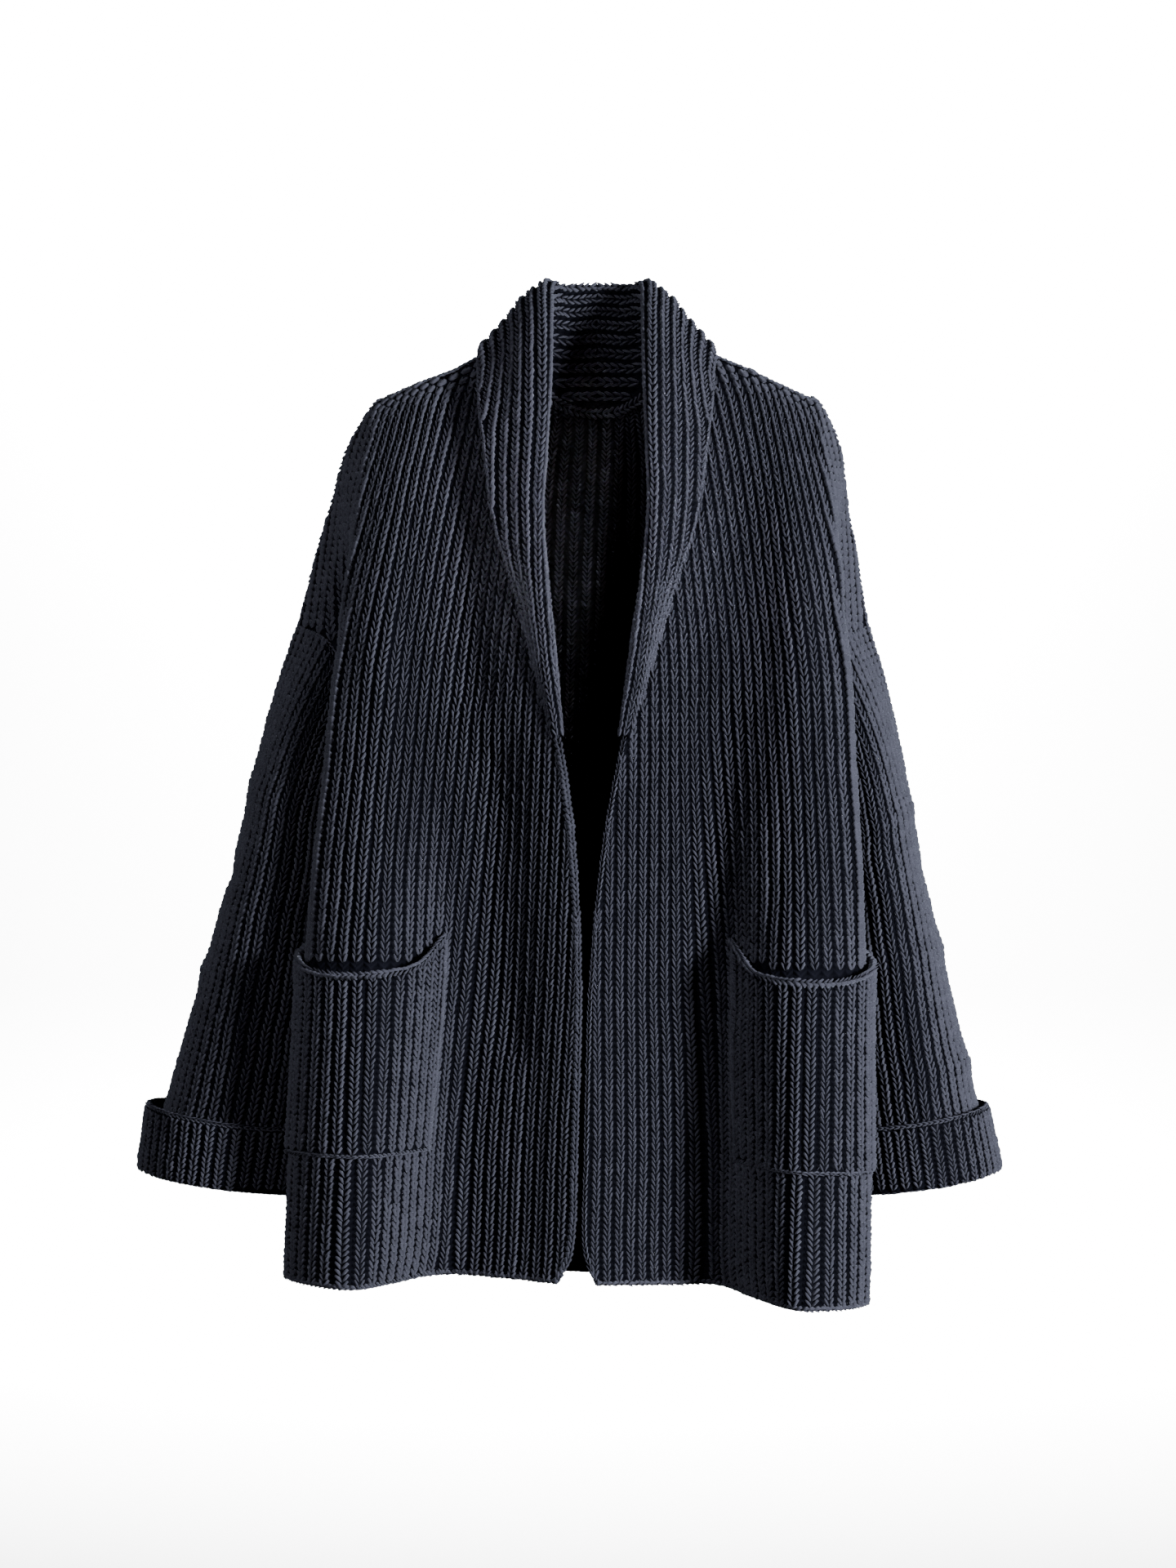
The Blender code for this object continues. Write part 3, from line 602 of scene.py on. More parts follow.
def latticeOf(skin, across, up, flip=False, margin=lattice["margin"]):
    points, out = skin["points"], skin["out"]
    byRow, byColumn = np.gradient(points, axis=(0, 1))
    (ar, ac), (ur, uc) = np.gradient(across), np.gradient(up)
    scale = ar * uc - ac * ur
    scale = np.where(np.abs(scale) < lattice["flattest"], lattice["flattest"], scale)[..., None]
    wide = (byRow * uc[..., None] - byColumn * ur[..., None]) / scale
    tall = (byColumn * ar[..., None] - byRow * ac[..., None]) / scale
    border = [points[0], points[-1]] + ([] if skin["closed"] else [points[:, 0], points[:, -1]])
    border = np.vstack(border)
    room = np.array([np.linalg.norm(row[:, None] - border, axis=2).min(axis=1) for row in points])
    data = np.concatenate([points, out, wide, tall, room[..., None]], axis=2)
    data = data.reshape(-1, data.shape[2])
    faces = quadsOf(np.arange(len(data)).reshape(across.shape))
    faces = np.vstack([faces[:, (0, 1, 2)], faces[:, (0, 2, 3)]])
    corners = np.stack([across, up], axis=2).reshape(-1, 2)[faces]
    low = np.ceil(corners.min(axis=1) - 0.5)
    reach = int(np.ceil((corners.max(axis=1) - corners.min(axis=1)).max())) + 1
    turn = np.stack([corners[:, 1] - corners[:, 0], corners[:, 2] - corners[:, 0]], axis=2)
    size = turn[:, 0, 0] * turn[:, 1, 1] - turn[:, 0, 1] * turn[:, 1, 0]
    found = []
    for i, j in np.ndindex(*(min(reach, most) for most in lattice["crossed"])):
        gap = low + (i + 0.5, j + 0.5) - corners[:, 0]        # stitches lie at half counts
        with np.errstate(divide="ignore", invalid="ignore"):
            v = (gap[:, 0] * turn[:, 1, 1] - gap[:, 1] * turn[:, 0, 1]) / size
            w = (gap[:, 1] * turn[:, 0, 0] - gap[:, 0] * turn[:, 1, 0]) / size
            inside = (v >= 0) & (w >= 0) & (v + w < 1) & (np.abs(size) > lattice["smallest"])
        share = np.stack([1 - v - w, v, w], axis=1)[inside]
        found.append((data[faces[inside]] * share[..., None]).sum(axis=1))
    found = np.vstack(found)
    found = found[found[:, roomAt] > margin]
    sizes = np.linalg.norm([found[:, wideAt], found[:, tallAt]], axis=2).T
    fair = (sizes < lattice["oversize"] * np.median(sizes, axis=0)).all(axis=1)
    found, sizes = found[fair], sizes[fair]
    way = unit(found[:, tallAt]) * (-1 if flip else 1)
    return [found[:, centreAt], way, unit(found[:, outAt]), np.insert(sizes, 2, 1.0, axis=1)]


def chainAlong(line, out, pitch, width, thick, lift):
    far = lengths(line)
    count = max(2, round(far[-1] / pitch))
    at = (np.arange(count) + 0.5) / count * far[-1]
    place, normal = along(line, at, far), unit(along(out, at, far))
    ahead = along(line, np.minimum(at + pitch / 2, far[-1]), far)
    way = unit(ahead - along(line, np.maximum(at - pitch / 2, 0), far))
    size = np.tile((width, far[-1] / count, thick), (count, 1))
    return [place + normal * lift, way, normal, size]


# the chain of stitches along an edge: its tilt leans it outwards, and its inset draws it in
edgeChain = {"pitch": 0.0048, "width": 0.0062, "thick": 0.8, "lift": -0.0008}
edgeTilt, edgeInset = 0.6, 0.0012
edgeSpots = {"firstRow": (np.s_[0], np.s_[1]), "lastRow": (np.s_[-1], np.s_[-2]),
             "firstColumn": (np.s_[:, 0], np.s_[:, 1]),
             "lastColumn": (np.s_[:, -1], np.s_[:, -2])}      # an edge, and the line beside it


def rim(skin, edge, tilt=edgeTilt, **chain):
    where, beside = edgeSpots[edge]
    points, out = skin["points"], skin["out"]
    away = unit(points[where] - points[beside])
    return chainAlong(points[where] - away * edgeInset, unit(out[where] + away * tilt),
                      **{**edgeChain, **chain})


def joined(*runs):
    return [np.vstack(parts) for parts in zip(*runs)]


def thicken(run, heights, shares):      # by one share below the first height, to the other
    centre, _, _, size = run
    size[:, 2] *= np.interp(centre[:, 2], heights, shares)
    return run


# one stitch, in wales across, courses up and yarn thicknesses out, and how far stitches lie off
# their place, turn aside and differ in size
stitch = {"stations": ((0.03, -0.70, 0.0, 0.40), (0.10, -0.35, 0.10, 0.90),
                       (0.24, 0.30, 0.115, 1.0), (0.30, 0.66, 0.0, 0.46)),
          "root": -0.55, "thickness": 0.0028, "stray": 0.00018, "lean": 0.07, "uneven": 0.07}


def makeStitch():
    work = bmesh.new()
    for hand in (1, -1):
        rings = []
        for x, y, halfWidth, crest in stitch["stations"]:
            spots = ([(x, y, crest)] if halfWidth == 0 else
                     [(x - halfWidth, y, stitch["root"]), (x, y, crest),
                      (x + halfWidth, y, stitch["root"])])
            rings.append([work.verts.new((hand * a, b, c)) for a, b, c in spots])
        for low, high in zip(rings, rings[1:]):
            for k in range(3):          # a leg is a yarn of three sides
                a, b = low[k % len(low)], low[(k + 1) % len(low)]
                c, d = high[(k + 1) % len(high)], high[k % len(high)]
                work.faces.new(tuple(dict.fromkeys((a, b, c, d))))     # three at a leg's end
    mesh = bpy.data.meshes.new("stitchForm")
    finishMesh(work, mesh)
    return addObject("stitchForm", mesh)


def node(tree, kind, settings=None, inputs=None):
    made = tree.nodes.new(kind)
    for key, value in (settings or {}).items():
        setattr(made, key, value)
    for key, value in (inputs or {}).items():
        if isinstance(value, bpy.types.NodeSocket):
            tree.links.new(value, made.inputs[key])
        else:
            made.inputs[key].default_value = value
    return made


def stitchTree(form, material):
    tree = bpy.data.node_groups.new("knitStitches_" + material.name, "GeometryNodeTree")
    sockets = tree.interface
    sockets.new_socket("Geometry", in_out="INPUT", socket_type="NodeSocketGeometry")
    names = {name: sockets.new_socket(name, in_out="INPUT", socket_type=kind).identifier
             for name, kind in (("Yarn thickness", "NodeSocketFloat"),
                                ("Unevenness", "NodeSocketFloat"), ("Seed", "NodeSocketInt"))}
    sockets.new_socket("Geometry", in_out="OUTPUT", socket_type="NodeSocketGeometry")
    start = node(tree, "NodeGroupInput").outputs
    vector = {"data_type": "FLOAT_VECTOR"}
    up, out, size = (node(tree, "GeometryNodeInputNamedAttribute", vector, {"Name": name}).outputs[0]
                     for name in ("up", "out", "size"))
    turn = node(tree, "FunctionNodeAxesToRotation", {"primary_axis": "Z", "secondary_axis": "Y"},
                {"Primary Axis": out, "Secondary Axis": up})
    low, high = (node(tree, "ShaderNodeMath", {"operation": operation},
                      {0: 1.0, 1: start["Unevenness"]}) for operation in ("SUBTRACT", "ADD"))
    vary = node(tree, "FunctionNodeRandomValue", {"data_type": "FLOAT"},     # 2, 3: least, most
                {2: low.outputs[0], 3: high.outputs[0], "Seed": start["Seed"]})
    deep = node(tree, "ShaderNodeCombineXYZ", None, {0: 1.0, 1: 1.0, 2: start["Yarn thickness"]})
    scale = node(tree, "ShaderNodeVectorMath", {"operation": "MULTIPLY"},
                 {0: size, 1: deep.outputs[0]})
    scale = node(tree, "ShaderNodeVectorMath", {"operation": "SCALE"},
                 {0: scale.outputs[0], "Scale": vary.outputs[1]})
    shape = node(tree, "GeometryNodeObjectInfo", None, {"Object": form})
    tone = node(tree, "FunctionNodeRandomValue", {"data_type": "FLOAT"}, {"Seed": start["Seed"]})
    toned = node(tree, "GeometryNodeStoreNamedAttribute", {"data_type": "FLOAT", "domain": "POINT"},
                 {"Geometry": start["Geometry"], "Name": "tone", "Value": tone.outputs[1]})
    put = node(tree, "GeometryNodeInstanceOnPoints", None,
               {"Points": toned.outputs[0], "Instance": shape.outputs["Geometry"],
                "Rotation": turn.outputs[0], "Scale": scale.outputs[0]})
    real = node(tree, "GeometryNodeRealizeInstances", None, {"Geometry": put.outputs[0]})
    painted = node(tree, "GeometryNodeSetMaterial", None,
                   {"Geometry": real.outputs[0], "Material": material})
    node(tree, "NodeGroupOutput", None, {"Geometry": painted.outputs[0]})
    return tree, names


def knitOn(name, run, finish, seed, thickness=stitch["thickness"]):
    centre, up, out, size = run
    draw = np.random.default_rng(seed)
    centre = centre + draw.normal(0, stitch["stray"], centre.shape)
    up = unit(up + np.cross(up, out) * draw.normal(0, stitch["lean"], (len(up), 1)))
    mesh = bpy.data.meshes.new(name + "_places")
    mesh.from_pydata(centre.tolist(), [], [])
    ways = {"up": up, "out": out, "size": size}
    for label, values in ways.items():
        slot = mesh.attributes.new(label, "FLOAT_VECTOR", "POINT")
        slot.data.foreach_set("vector", values.reshape(-1).astype(np.float32))
    places = addObject(name + "_places", mesh)
    modifier = places.modifiers.new("stitches", "NODES")
    modifier.node_group, names = stitchTrees[finish]
    for label, value in (("Yarn thickness", thickness), ("Unevenness", stitch["uneven"]),
                         ("Seed", seed)):
        modifier[names[label]] = value
    made = bpy.data.meshes.new_from_object(
        places.evaluated_get(bpy.context.evaluated_depsgraph_get()))
    made.name = name
    for label in ways:
        if label in made.attributes:
            made.attributes.remove(made.attributes[label])
    bpy.data.objects.remove(places)
    return addObject(name, made)


class Wire:
    def __init__(self, tree, socket):
        self.tree, self.socket = tree, socket

    def maths(self, operation, a, b=None):
        values = {k: v.socket if isinstance(v, Wire) else v
                  for k, v in enumerate((a, b)) if v is not None}
        return Wire(self.tree, node(self.tree, "ShaderNodeMath", {"operation": operation},
                                    values).outputs[0])

    def __add__(self, other):
        return self.maths("ADD", self, other)

    def __sub__(self, other):
        return self.maths("SUBTRACT", self, other)

    def __rsub__(self, other):
        return self.maths("SUBTRACT", other, self)

    def __mul__(self, other):
        return self.maths("MULTIPLY", self, other)

    def __pow__(self, other):
        return self.maths("POWER", self, other)

    def zigzag(self):       # 1 at each whole number, 0 halfway to the next
        return self.maths("ABSOLUTE", self.maths("FRACT", self) - 0.5) * 2


wool = {"dark": (0.0165, 0.0175, 0.0255), "light": (0.053, 0.055, 0.077),
        "shares": (0.55, 0.30, 0.25),     # of the fibres, patches and stitches in the tone
        "roughness": 0.95, "specular": 0.15,
        "sheen": 0.12, "sheenRoughness": 0.5, "sheenTint": (0.70, 0.76, 1.0, 1),
        "fibre": {"Scale": 620, "Detail": 3.0, "Roughness": 0.65}, "fibreHeight": 0.0007,
        "patch": {"Scale": 26, "Detail": 2.0}}
# the cloth under the stitches, seen only between them: ribs, and legs that slant up them
# its colour is painted shade: near black, as the shadow in the gaps between stitches, and darker in
# the grooves than on the ribs and legs
groundWoolPaintedShade = {"dark": (0.0012, 0.0013, 0.002), "light": (0.007, 0.0075, 0.012),
              "shares": (0.25, 0.45, 0.30),     # of the fibres, ribs and legs in the tone
              "ribHeight": 0.0016, "legHeight": 0.0010, "legSlant": 0.9}


def noise(tree, grain):
    place = node(tree, "ShaderNodeTexCoord").outputs["Object"]
    return Wire(tree, node(tree, "ShaderNodeTexNoise", None,
                           {"Vector": place, **grain}).outputs["Fac"])


def ribsAndLegs(tree, fibre):
    spot = node(tree, "ShaderNodeUVMap", {"uv_map": "knit"}).outputs[0]
    parts = node(tree, "ShaderNodeSeparateXYZ", None, {0: spot}).outputs
    rib = Wire(tree, parts[0]).zigzag()          # 0 on a wale, 1 in its groove
    leg = (Wire(tree, parts[1]) - rib * groundWoolPaintedShade["legSlant"]).zigzag()
    height = (1 - rib ** 2) * groundWoolPaintedShade["ribHeight"] + leg * groundWoolPaintedShade["legHeight"]
    # the tone is lighter on the ribs and legs and darker in their grooves: painted shade
    return (fibre, 1 - rib, leg), height + fibre * wool["fibreHeight"]


def stitchTones(tree, fibre):
    tone = node(tree, "ShaderNodeAttribute", {"attribute_name": "tone"}).outputs["Fac"]
    return ((fibre, noise(tree, wool["patch"]), Wire(tree, tone)),
            fibre * wool["fibreHeight"])


def woolMaterial(name, shade=1.0, paintedShadeGround=False):
    material = bpy.data.materials.new(name)
    material.use_nodes = True
    tree = material.node_tree
    shader = tree.nodes["Principled BSDF"].inputs
    shader["Roughness"].default_value = wool["roughness"]
    shader["Sheen Weight"].default_value = 0 if paintedShadeGround else wool["sheen"]
    shader["Sheen Roughness"].default_value = wool["sheenRoughness"]
    shader["Sheen Tint"].default_value = wool["sheenTint"]
    shader["Specular IOR Level"].default_value = 0 if paintedShadeGround else wool["specular"]
    colours = groundWoolPaintedShade if paintedShadeGround else wool
    tones, height = (ribsAndLegs if paintedShadeGround else stitchTones)(tree, noise(tree, wool["fibre"]))
    first, second, third = (tone * share for tone, share in zip(tones, colours["shares"]))
    tint = node(tree, "ShaderNodeMix", {"data_type": "RGBA"}, {0: (first + second + third).socket})
    # the factor on the colours makes darker copies of the wool for painted shade and lighter ones
    # for painted light
    for key, colour in ((6, "dark"), (7, "light")):
        tint.inputs[key].default_value = (*(shade * c for c in colours[colour]), 1)
    bump = node(tree, "ShaderNodeBump", None,
                {"Strength": 1.0, "Distance": 1.0, "Height": height.socket})
    tree.links.new(tint.outputs[2], shader["Base Color"])
    tree.links.new(bump.outputs[0], shader["Normal"])
    return material


# the cloth under the stitches, coloured with painted shade
paintedShadeGround = woolMaterial("ribKnitGroundPaintedShade", paintedShadeGround=True)
# the reverse rib is the wool darkened as painted shade, and the linked seam the wool lightened as
# painted light
finishes = {"rib_knit": woolMaterial("ribKnitWool"),
            "rib_knit_reverse": woolMaterial("reverseRibWoolPaintedShade", shade=0.92),
            "linked_seam": woolMaterial("linkedSeamWoolPaintedLight", shade=1.08)}
form = makeStitch()
stitchTrees = {finish: stitchTree(form, material) for finish, material in finishes.items()}
print("wool and stitch ready")


def dress(skin, phase, run, knit, side=whole):
    name, solid, *rests = (text.format(sideNames.get(side, ""))
                           for text in (knit["name"], knit["solid"], *knit["restsOn"]))
    cloth = clothShell(name, skin, np.stack(phase, axis=-1))
    cloth.data.materials.append(paintedShadeGround)
    stitches = knitOn(name + "_stitches", run, knit["finish"], knit["seed"] + side,
                      knit.get("thickness", stitch["thickness"]))
    for piece in (cloth, stitches):
        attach(piece, "root")
    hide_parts(solid)
    print(name, len(cloth.data.polygons) * 2, "+", len(stitches.data.polygons), "faces")


# Each piece's dictionary has its gauge, as wale widths and course heights at heights from the
# hem up or as a count of wales all round, and its cut: the width, length and area laid flat.
# In its names, {} stands for left or right.
bodyGauge = {"wale": ((-0.75, 0.0106), (-0.49, 0.0101), (-0.30, 0.0095), (0.05, 0.0094)),
             "course": ((-0.75, 0.0048), (-0.49, 0.0052), (-0.30, 0.0058), (-0.10, 0.0064))}

collarKnit = {"name": "collar_shawl_{}", "solid": "collar_{}", "restsOn": ["back"],
              "steps": (6, 6), "finish": "rib_knit", "seed": 51, "margin": 0.0019,
              "gauge": {"wale": ((-0.28, 0.0072), (-0.15, 0.0094), (-0.02, 0.0118),
                                 (0.10, 0.0124)),
                        "course": ((-0.30, 0.0054), (0.10, 0.0062))},
              "cut": {left: (0.238, 0.516, 0.0464), right: (0.238, 0.516, 0.0464)},
              "thickness": 0.0021, "edge": {"width": 0.0048, "thick": 0.6},
              "thins": ((-0.29, -0.17), (0.45, 1.0)),      # to the break
              "sink": 0.0024, "sinkRows": 11, "sinkWidth": 1 / 3,    # share of the fall
              # it hides the stitches within its reach, but not beside its last rows and columns
              "reach": 0.0085, "openRows": 7, "openColumns": 2}
rollColumn = sum(collarCells[:2]) * collarKnit["steps"][1]


def collarSkin(side):       # the lower end of the fall sinks into the front
    skin = turnedOver(skinOf(*halves[side]["collar"], collarKnit["steps"]))
    rows, columns = skin["points"].shape[:2]
    last = collarKnit["sinkRows"]
    ease = np.clip((np.arange(rows) - (rows - 1 - last)) / last, 0, 1)
    fall = (np.arange(columns) - rollColumn) / (columns - 1 - rollColumn)
    fall = np.clip(fall / collarKnit["sinkWidth"], 0, 1)
    drop = collarKnit["sink"] * (ease ** 2 * (3 - 2 * ease))[:, None] * fall
    return {**skin, "points": skin["points"] - skin["out"] * drop[..., None]}


def underCollar(run, skin):       # leaves out the stitches that the collar hides
    points, centres = skin["points"], run[0]
    rows, columns = points.shape[:2]
    tree = kdtree.KDTree(rows * columns)
    for k, point in enumerate(points.reshape(-1, 3)):
        tree.insert(point, k)
    tree.balance()
    hidden = np.zeros(len(centres), bool)
    for k, centre in enumerate(centres):
        _, near, gap = tree.find(centre)
        row, column = divmod(near, columns)
        hidden[k] = (gap < collarKnit["reach"] and row < rows - 1 - collarKnit["openRows"]
                     and column < columns - 1 - collarKnit["openColumns"])
    return [values[~hidden] for values in run]


def knitCollar(side):
    skin = collarSkins[side]
    across, up = phases(skin, collarKnit["gauge"], rollColumn)
    run = latticeOf(skin, across, up, flip=True, margin=collarKnit["margin"])
    run = joined(run, rim(skin, "lastColumn", **collarKnit["edge"]))
    dress(skin, (across, up), thicken(run, *collarKnit["thins"]), collarKnit, side)


backKnit = {"name": "back_panel", "solid": "back", "restsOn": ["collar_left", "collar_right"],
            "steps": (4, 5), "finish": "rib_knit", "seed": 11, "margin": 0.0022,
            "cut": {whole: (0.770, 0.849, 0.448)}, "shoulder": {"thick": 0.6}}
# the reverse of the back shows inside the open neck, down to a height and this far out
insideKnit = {"down": -0.36, "out": 0.135, "seed": 17, "thickness": 0.0022,
              "gauge": {"wale": ((-0.4, 0.0125), (0.1, 0.0125)),
                        "course": ((-0.4, 0.0042), (0.1, 0.0044))}}


def bothHalves(piece):
    return joinHalves(halves[right][piece], halves[left][piece])


def knitInside(backSkin):
    turned = turnedOver(backSkin, shell["inner"])
    spine = backSkin["points"][:, backSkin["points"].shape[1] // 2]
    first = np.argmax(spine[:, 2] > insideKnit["down"])
    shown = {key: turned[key][first:, ::-1] for key in ("points", "out")}
    near = np.abs(shown["points"][0, :, 0]) < insideKnit["out"]
    shown = {key: values[:, near] for key, values in shown.items()}
    shown["closed"] = False
    across, up = phases(shown, insideKnit["gauge"], near.sum() // 2)
    stitches = knitOn("back_reverse_stitches", latticeOf(shown, across, up),
                      "rib_knit_reverse", insideKnit["seed"], insideKnit["thickness"])
    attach(stitches, "root")
    print("reverse of the back")
    return stitches


def knitBack():
    grid = bothHalves("back")
    skin = skinOf(*grid, backKnit["steps"])
    across, up = plumbPhases(*grid, bodyGauge, backKnit["steps"], grid[0].shape[1] // 2)
    inside = knitInside(skin)
    run = latticeOf(skin, across, up, margin=backKnit["margin"])
    for collar in collarSkins.values():
        run = underCollar(run, collar)
    run = joined(run, rim(skin, "firstRow"), rim(skin, "lastRow", **backKnit["shoulder"]))
    dress(skin, (across, up), run, backKnit)


tapeKnit = {"name": "neck_seam", "solid": "neck_tape", "restsOn": ["back"],
            "steps": (4, 6), "finish": "linked_seam", "seed": 13, "wales": 30, "courses": 2,
            "cut": {whole: (0.210, 0.0105, 0.0017)},
            "chain": {"pitch": 0.0050, "width": 0.0135, "thick": 1.2, "lift": 0.0002}}


def knitTape():
    skin = turnedOver(skinOf(*bothHalves("tape"), tapeKnit["steps"]), tapeWall)
    rows, columns = skin["points"].shape[:2]
    phase = np.meshgrid(np.linspace(0, tapeKnit["wales"], columns),
                        np.linspace(0, tapeKnit["courses"], rows))
    spine = rows // 2
    out = unit(skin["out"][spine] + (0.0, -1.0, 0.0))        # half turned to the front
    run = chainAlong(skin["points"][spine], out, **tapeKnit["chain"])
    dress(skin, phase, run, tapeKnit)


pocketKnit = {"name": "pocket_patch_{}", "solid": "pocket_{}", "restsOn": ["front_{}"],
              "steps": (8, 7), "finish": "rib_knit", "seed": 61,
              "gauge": {"wale": ((-0.70, 0.0120), (-0.40, 0.0117)),
                        "course": ((-0.70, 0.0048), (-0.40, 0.0048))},
              "cut": {left: (0.211, 0.185, 0.0311), right: (0.211, 0.182, 0.0297)},
              "mouth": {"width": 0.0090, "thick": 1.5}, "bottom": {"width": 0.0050, "thick": 0.45},
              # the front keeps its stitches this near the sides, and none this near the mouth, so
              # that the dark cloth under them shows there as a painted shadow
              "inset": 0.012, "mouthInset": 0.004, "shade": 0.007}


def pocketSkin(side):
    return skinOf(*halves[side]["pocket"], pocketKnit["steps"])


def behindPocket(run, patch):       # leaves out the stitches that the pocket hides
    x, z = run[0][:, 0], run[0][:, 2]
    low, high = (np.interp(x, *row[np.argsort(row[:, 0])][:, ::2].T) for row in patch[[0, -1]])
    near, far = np.sort([np.interp(z, column[:, 2], column[:, 0])
                         for column in (patch[:, 0], patch[:, -1])], axis=0)
    side, top = pocketKnit["inset"], pocketKnit["mouthInset"]
    covered = (x > near + side) & (x < far - side) & (z > low + side) & (z < high)
    # a band of the front's stitches along the mouth is left out too: the dark cloth under them is a
    # painted shadow there
    mouth = (x > near + top) & (x < far - top) & (abs(z - high) < pocketKnit["shade"])
    return [values[~(covered | mouth)] for values in run]


def knitPocket(side):
    skin = pocketSkins[side]
    across, up = plumbPhases(*halves[side]["pocket"], pocketKnit["gauge"], pocketKnit["steps"], 0)
    run = joined(latticeOf(skin, across, up), rim(skin, "lastRow", **pocketKnit["mouth"]),
                 rim(skin, "firstRow", **pocketKnit["bottom"]), rim(skin, "firstColumn"),
                 rim(skin, "lastColumn"))
    dress(skin, (across, up), run, pocketKnit, side)


frontKnit = {"name": "front_panel_{}", "solid": "front_{}", "restsOn": ["back"],
             "steps": (5, 6), "finish": "rib_knit", "seed": 21, "margin": 0.0022,
             "cut": {left: (0.362, 0.828, 0.228), right: (0.362, 0.827, 0.225)},
             "edge": {left: {}, right: {"width": 0.0085, "thick": 1.5, "tilt": 1.0}},
             "fuller": ((-0.42, -0.30), (1.0, 1.7)),       # towards the break
             "shoulder": {"thick": 0.6}}


def knitFront(side):
    grid = halves[side]["front"]
    skin = skinOf(*grid, frontKnit["steps"])
    across, up = plumbPhases(*grid, bodyGauge, frontKnit["steps"], frontCells[0])
    run = latticeOf(skin, across, up, margin=frontKnit["margin"])
    run = behindPocket(run, pocketSkins[side]["points"])
    run = underCollar(joined(run, rim(skin, "lastRow", **frontKnit["shoulder"])),
                      collarSkins[side])
    edge = thicken(rim(skin, "firstColumn", **frontKnit["edge"][side]), *frontKnit["fuller"])
    dress(skin, (across, up), joined(run, rim(skin, "firstRow"), edge), frontKnit, side)


sleeveKnit = {"name": "sleeve_tube_{}", "solid": "sleeve_{}", "restsOn": ["back"],
              "steps": (7, 7), "finish": "rib_knit", "seed": 31,
              "gauge": {"count": 38, "course": ((-0.66, 0.0056), (-0.20, 0.0062))},
              "cut": {left: (0.402, 0.466, 0.152), right: (0.430, 0.466, 0.162)}}


def knitSleeve(side):
    skin = skinOf(*halves[side]["sleeve"], sleeveKnit["steps"], closed=True)
    across, up = phases(skin, sleeveKnit["gauge"])
    run = joined(latticeOf(skin, across, up, flip=True), rim(skin, "firstRow"))
    dress(skin, (across, up), run, sleeveKnit, side)


cuffKnit = {"name": "cuff_turned_{}", "solid": "cuff_{}", "restsOn": ["sleeve_{}"],
            "steps": (5, 7), "finish": "rib_knit_reverse", "seed": 41, "thickness": 0.0019,
            "gauge": {"count": 44, "course": ((-0.66, 0.0044), (-0.60, 0.0044))},
            "cut": {left: (0.443, 0.070, 0.0302), right: (0.495, 0.070, 0.0330)},
            # the fold itself, where the cloth faces down, is one row of plain stitches
            "facesDown": -0.45, "foldRing": 2,
            "fold": {"pitch": 0.0048, "width": 0.0064, "thick": 0.7, "lift": -0.0006}}


def knitCuff(side):
    skin = turnedOver(skinOf(*halves[side]["cuff"], cuffKnit["steps"], closed=True))
    across, up = phases(skin, cuffKnit["gauge"])
    run = latticeOf(skin, across, up)
    level = run[2][:, 2] > cuffKnit["facesDown"]
    ring = cuffKnit["foldRing"] * cuffKnit["steps"][0]
    run = joined([values[level] for values in run], rim(skin, "lastRow"),
                 chainAlong(skin["points"][ring], skin["out"][ring], **cuffKnit["fold"]))
    dress(skin, (across, up), run, cuffKnit, side)


collarSkins = {side: collarSkin(side) for side in halves}
pocketSkins = {side: pocketSkin(side) for side in halves}
knitBack()
knitTape()
for side in halves:
    for knitPiece in (knitFront, knitSleeve, knitCuff, knitCollar, knitPocket):
        knitPiece(side)
bpy.data.objects.remove(form)

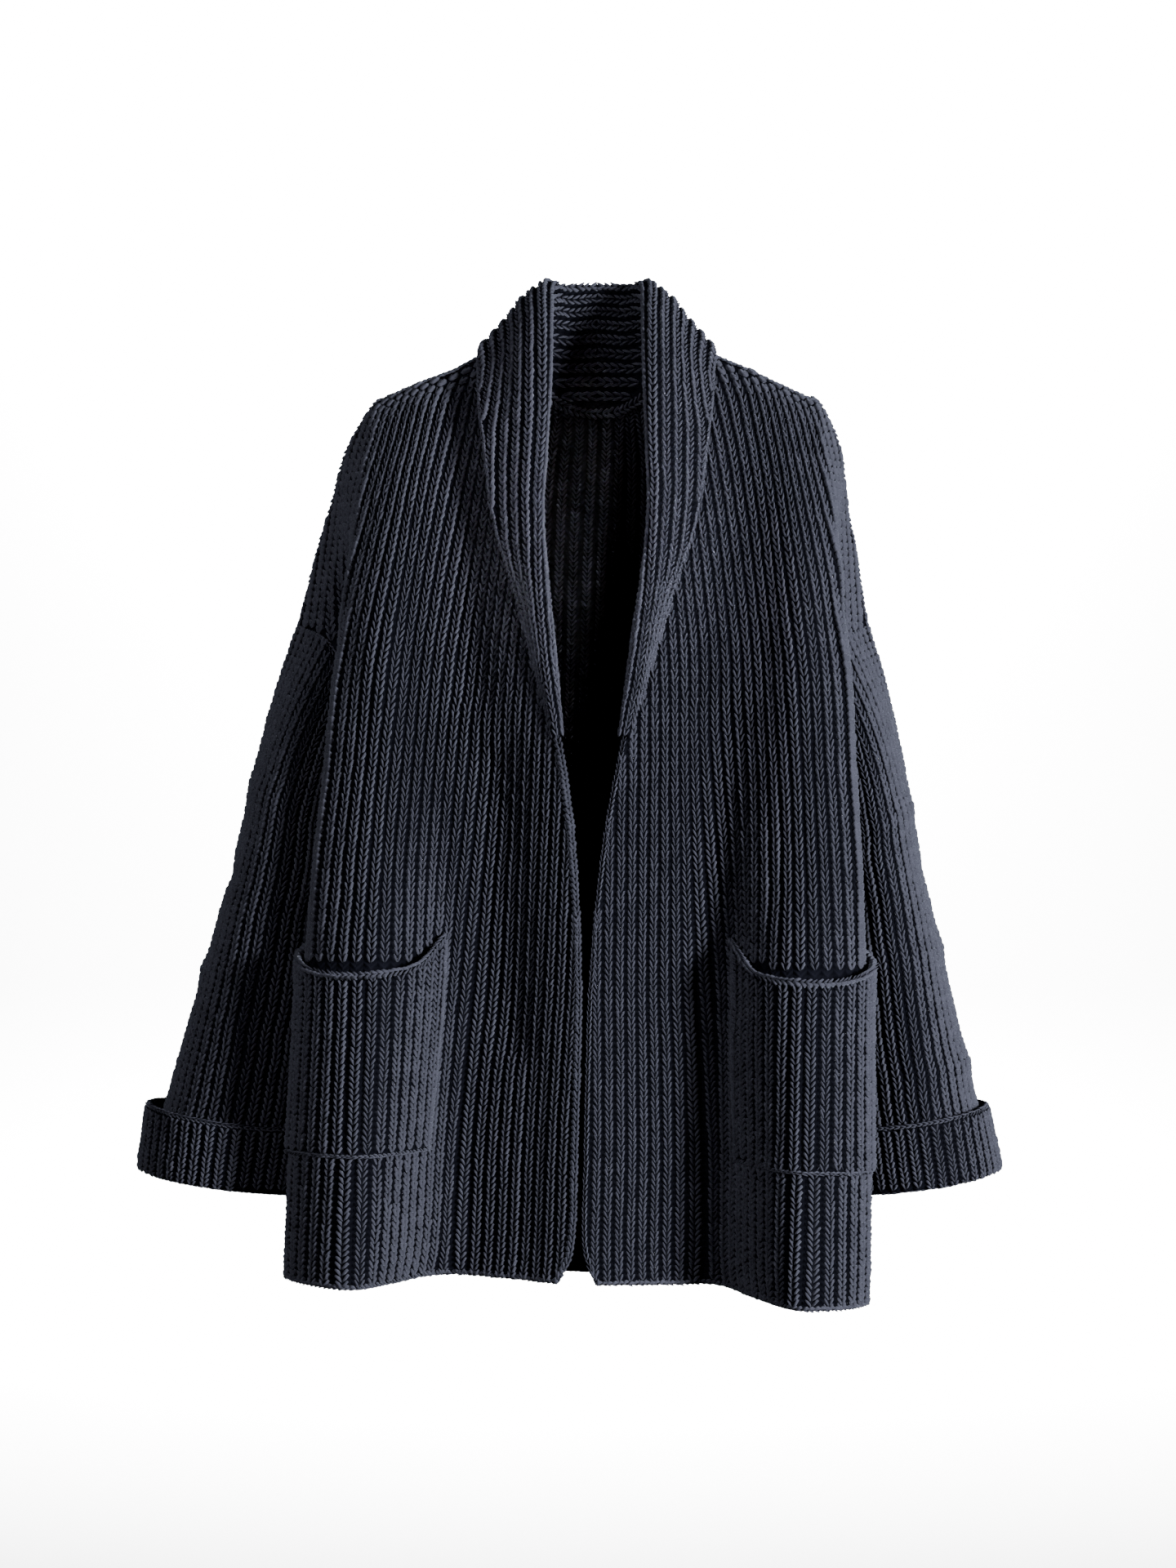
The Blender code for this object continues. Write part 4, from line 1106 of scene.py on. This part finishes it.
# a pale floor that sweeps up into the wall behind, which is lit apart from the garment
studio = {"floor": -1.30, "wall": 3.2, "near": 0.9, "width": 1.5, "height": 1.7,
          "bend": 0.6, "bendPoints": 13,
          "colour": (0.86, 0.86, 0.86, 1), "roughness": 0.95, "air": 0.02}
lights = (
    # name, place, aimed at, size, power, spread in degrees
    ("key", (2.40, -2.68, -0.10), (0.0, 0.0, -0.38), 0.7, 372, 180),
    ("fill", (-1.70, -2.90, 0.70), (-0.05, 0.0, -0.10), 1.2, 9, 70),
    ("neckward", (0.30, -1.80, -0.05), (-0.02, 0.06, -0.11), 0.20, 0.13, 8),
    ("wallWash", (0.0, 1.9, 2.9), (0.0, 3.8, -0.6), 1.4, 1350, 90),
)
camera = {"place": (-0.0078, -2.8, -0.3232), "lens": 73.9, "sensor": 36.0}


def makeSweep():
    bend = studio["bend"]
    line = [(studio["near"], studio["floor"])]
    line += [(studio["wall"] - bend + bend * np.sin(t), studio["floor"] + bend - bend * np.cos(t))
             for t in np.linspace(0, np.pi / 2, studio["bendPoints"])]
    line.append((studio["wall"], studio["height"]))
    points = [(x, y, z) for y, z in line for x in (-studio["width"], studio["width"])]
    faces = [(2 * k, 2 * k + 1, 2 * k + 3, 2 * k + 2) for k in range(len(line) - 1)]
    mesh = bpy.data.meshes.new("studioSweep")
    mesh.from_pydata(points, [], faces)
    mesh.shade_smooth()
    material = bpy.data.materials.new("paperSweep")
    material.use_nodes = True
    shader = material.node_tree.nodes["Principled BSDF"].inputs
    shader["Base Color"].default_value = studio["colour"]
    shader["Roughness"].default_value = studio["roughness"]
    mesh.materials.append(material)
    addObject("studio_sweep", mesh)


def makeLights():
    for name, place, target, size, power, spread in lights:
        lamp = bpy.data.lights.new(name, "AREA")
        lamp.shape, lamp.size, lamp.energy, lamp.spread = "SQUARE", size, power, np.radians(spread)
        obj = addObject(name, lamp)
        obj.location = place
        obj.rotation_euler = (Vector(target) - Vector(place)).to_track_quat("-Z", "Y").to_euler()
    world = bpy.data.worlds.new("studioAir")
    world.use_nodes = True
    air = world.node_tree.nodes["Background"].inputs
    air["Color"].default_value = (1, 1, 1, 1)
    air["Strength"].default_value = studio["air"]
    bpy.context.scene.world = world


def makeCamera():
    lens = bpy.data.cameras.new("camera")
    lens.lens, lens.sensor_width = camera["lens"], camera["sensor"]
    obj = addObject("camera", lens)
    obj.location = camera["place"]
    obj.rotation_euler = (np.pi / 2, 0, 0)         # level, looking along +Y
    bpy.context.scene.camera = obj


makeSweep()
makeLights()
makeCamera()
print("studio and camera ready")
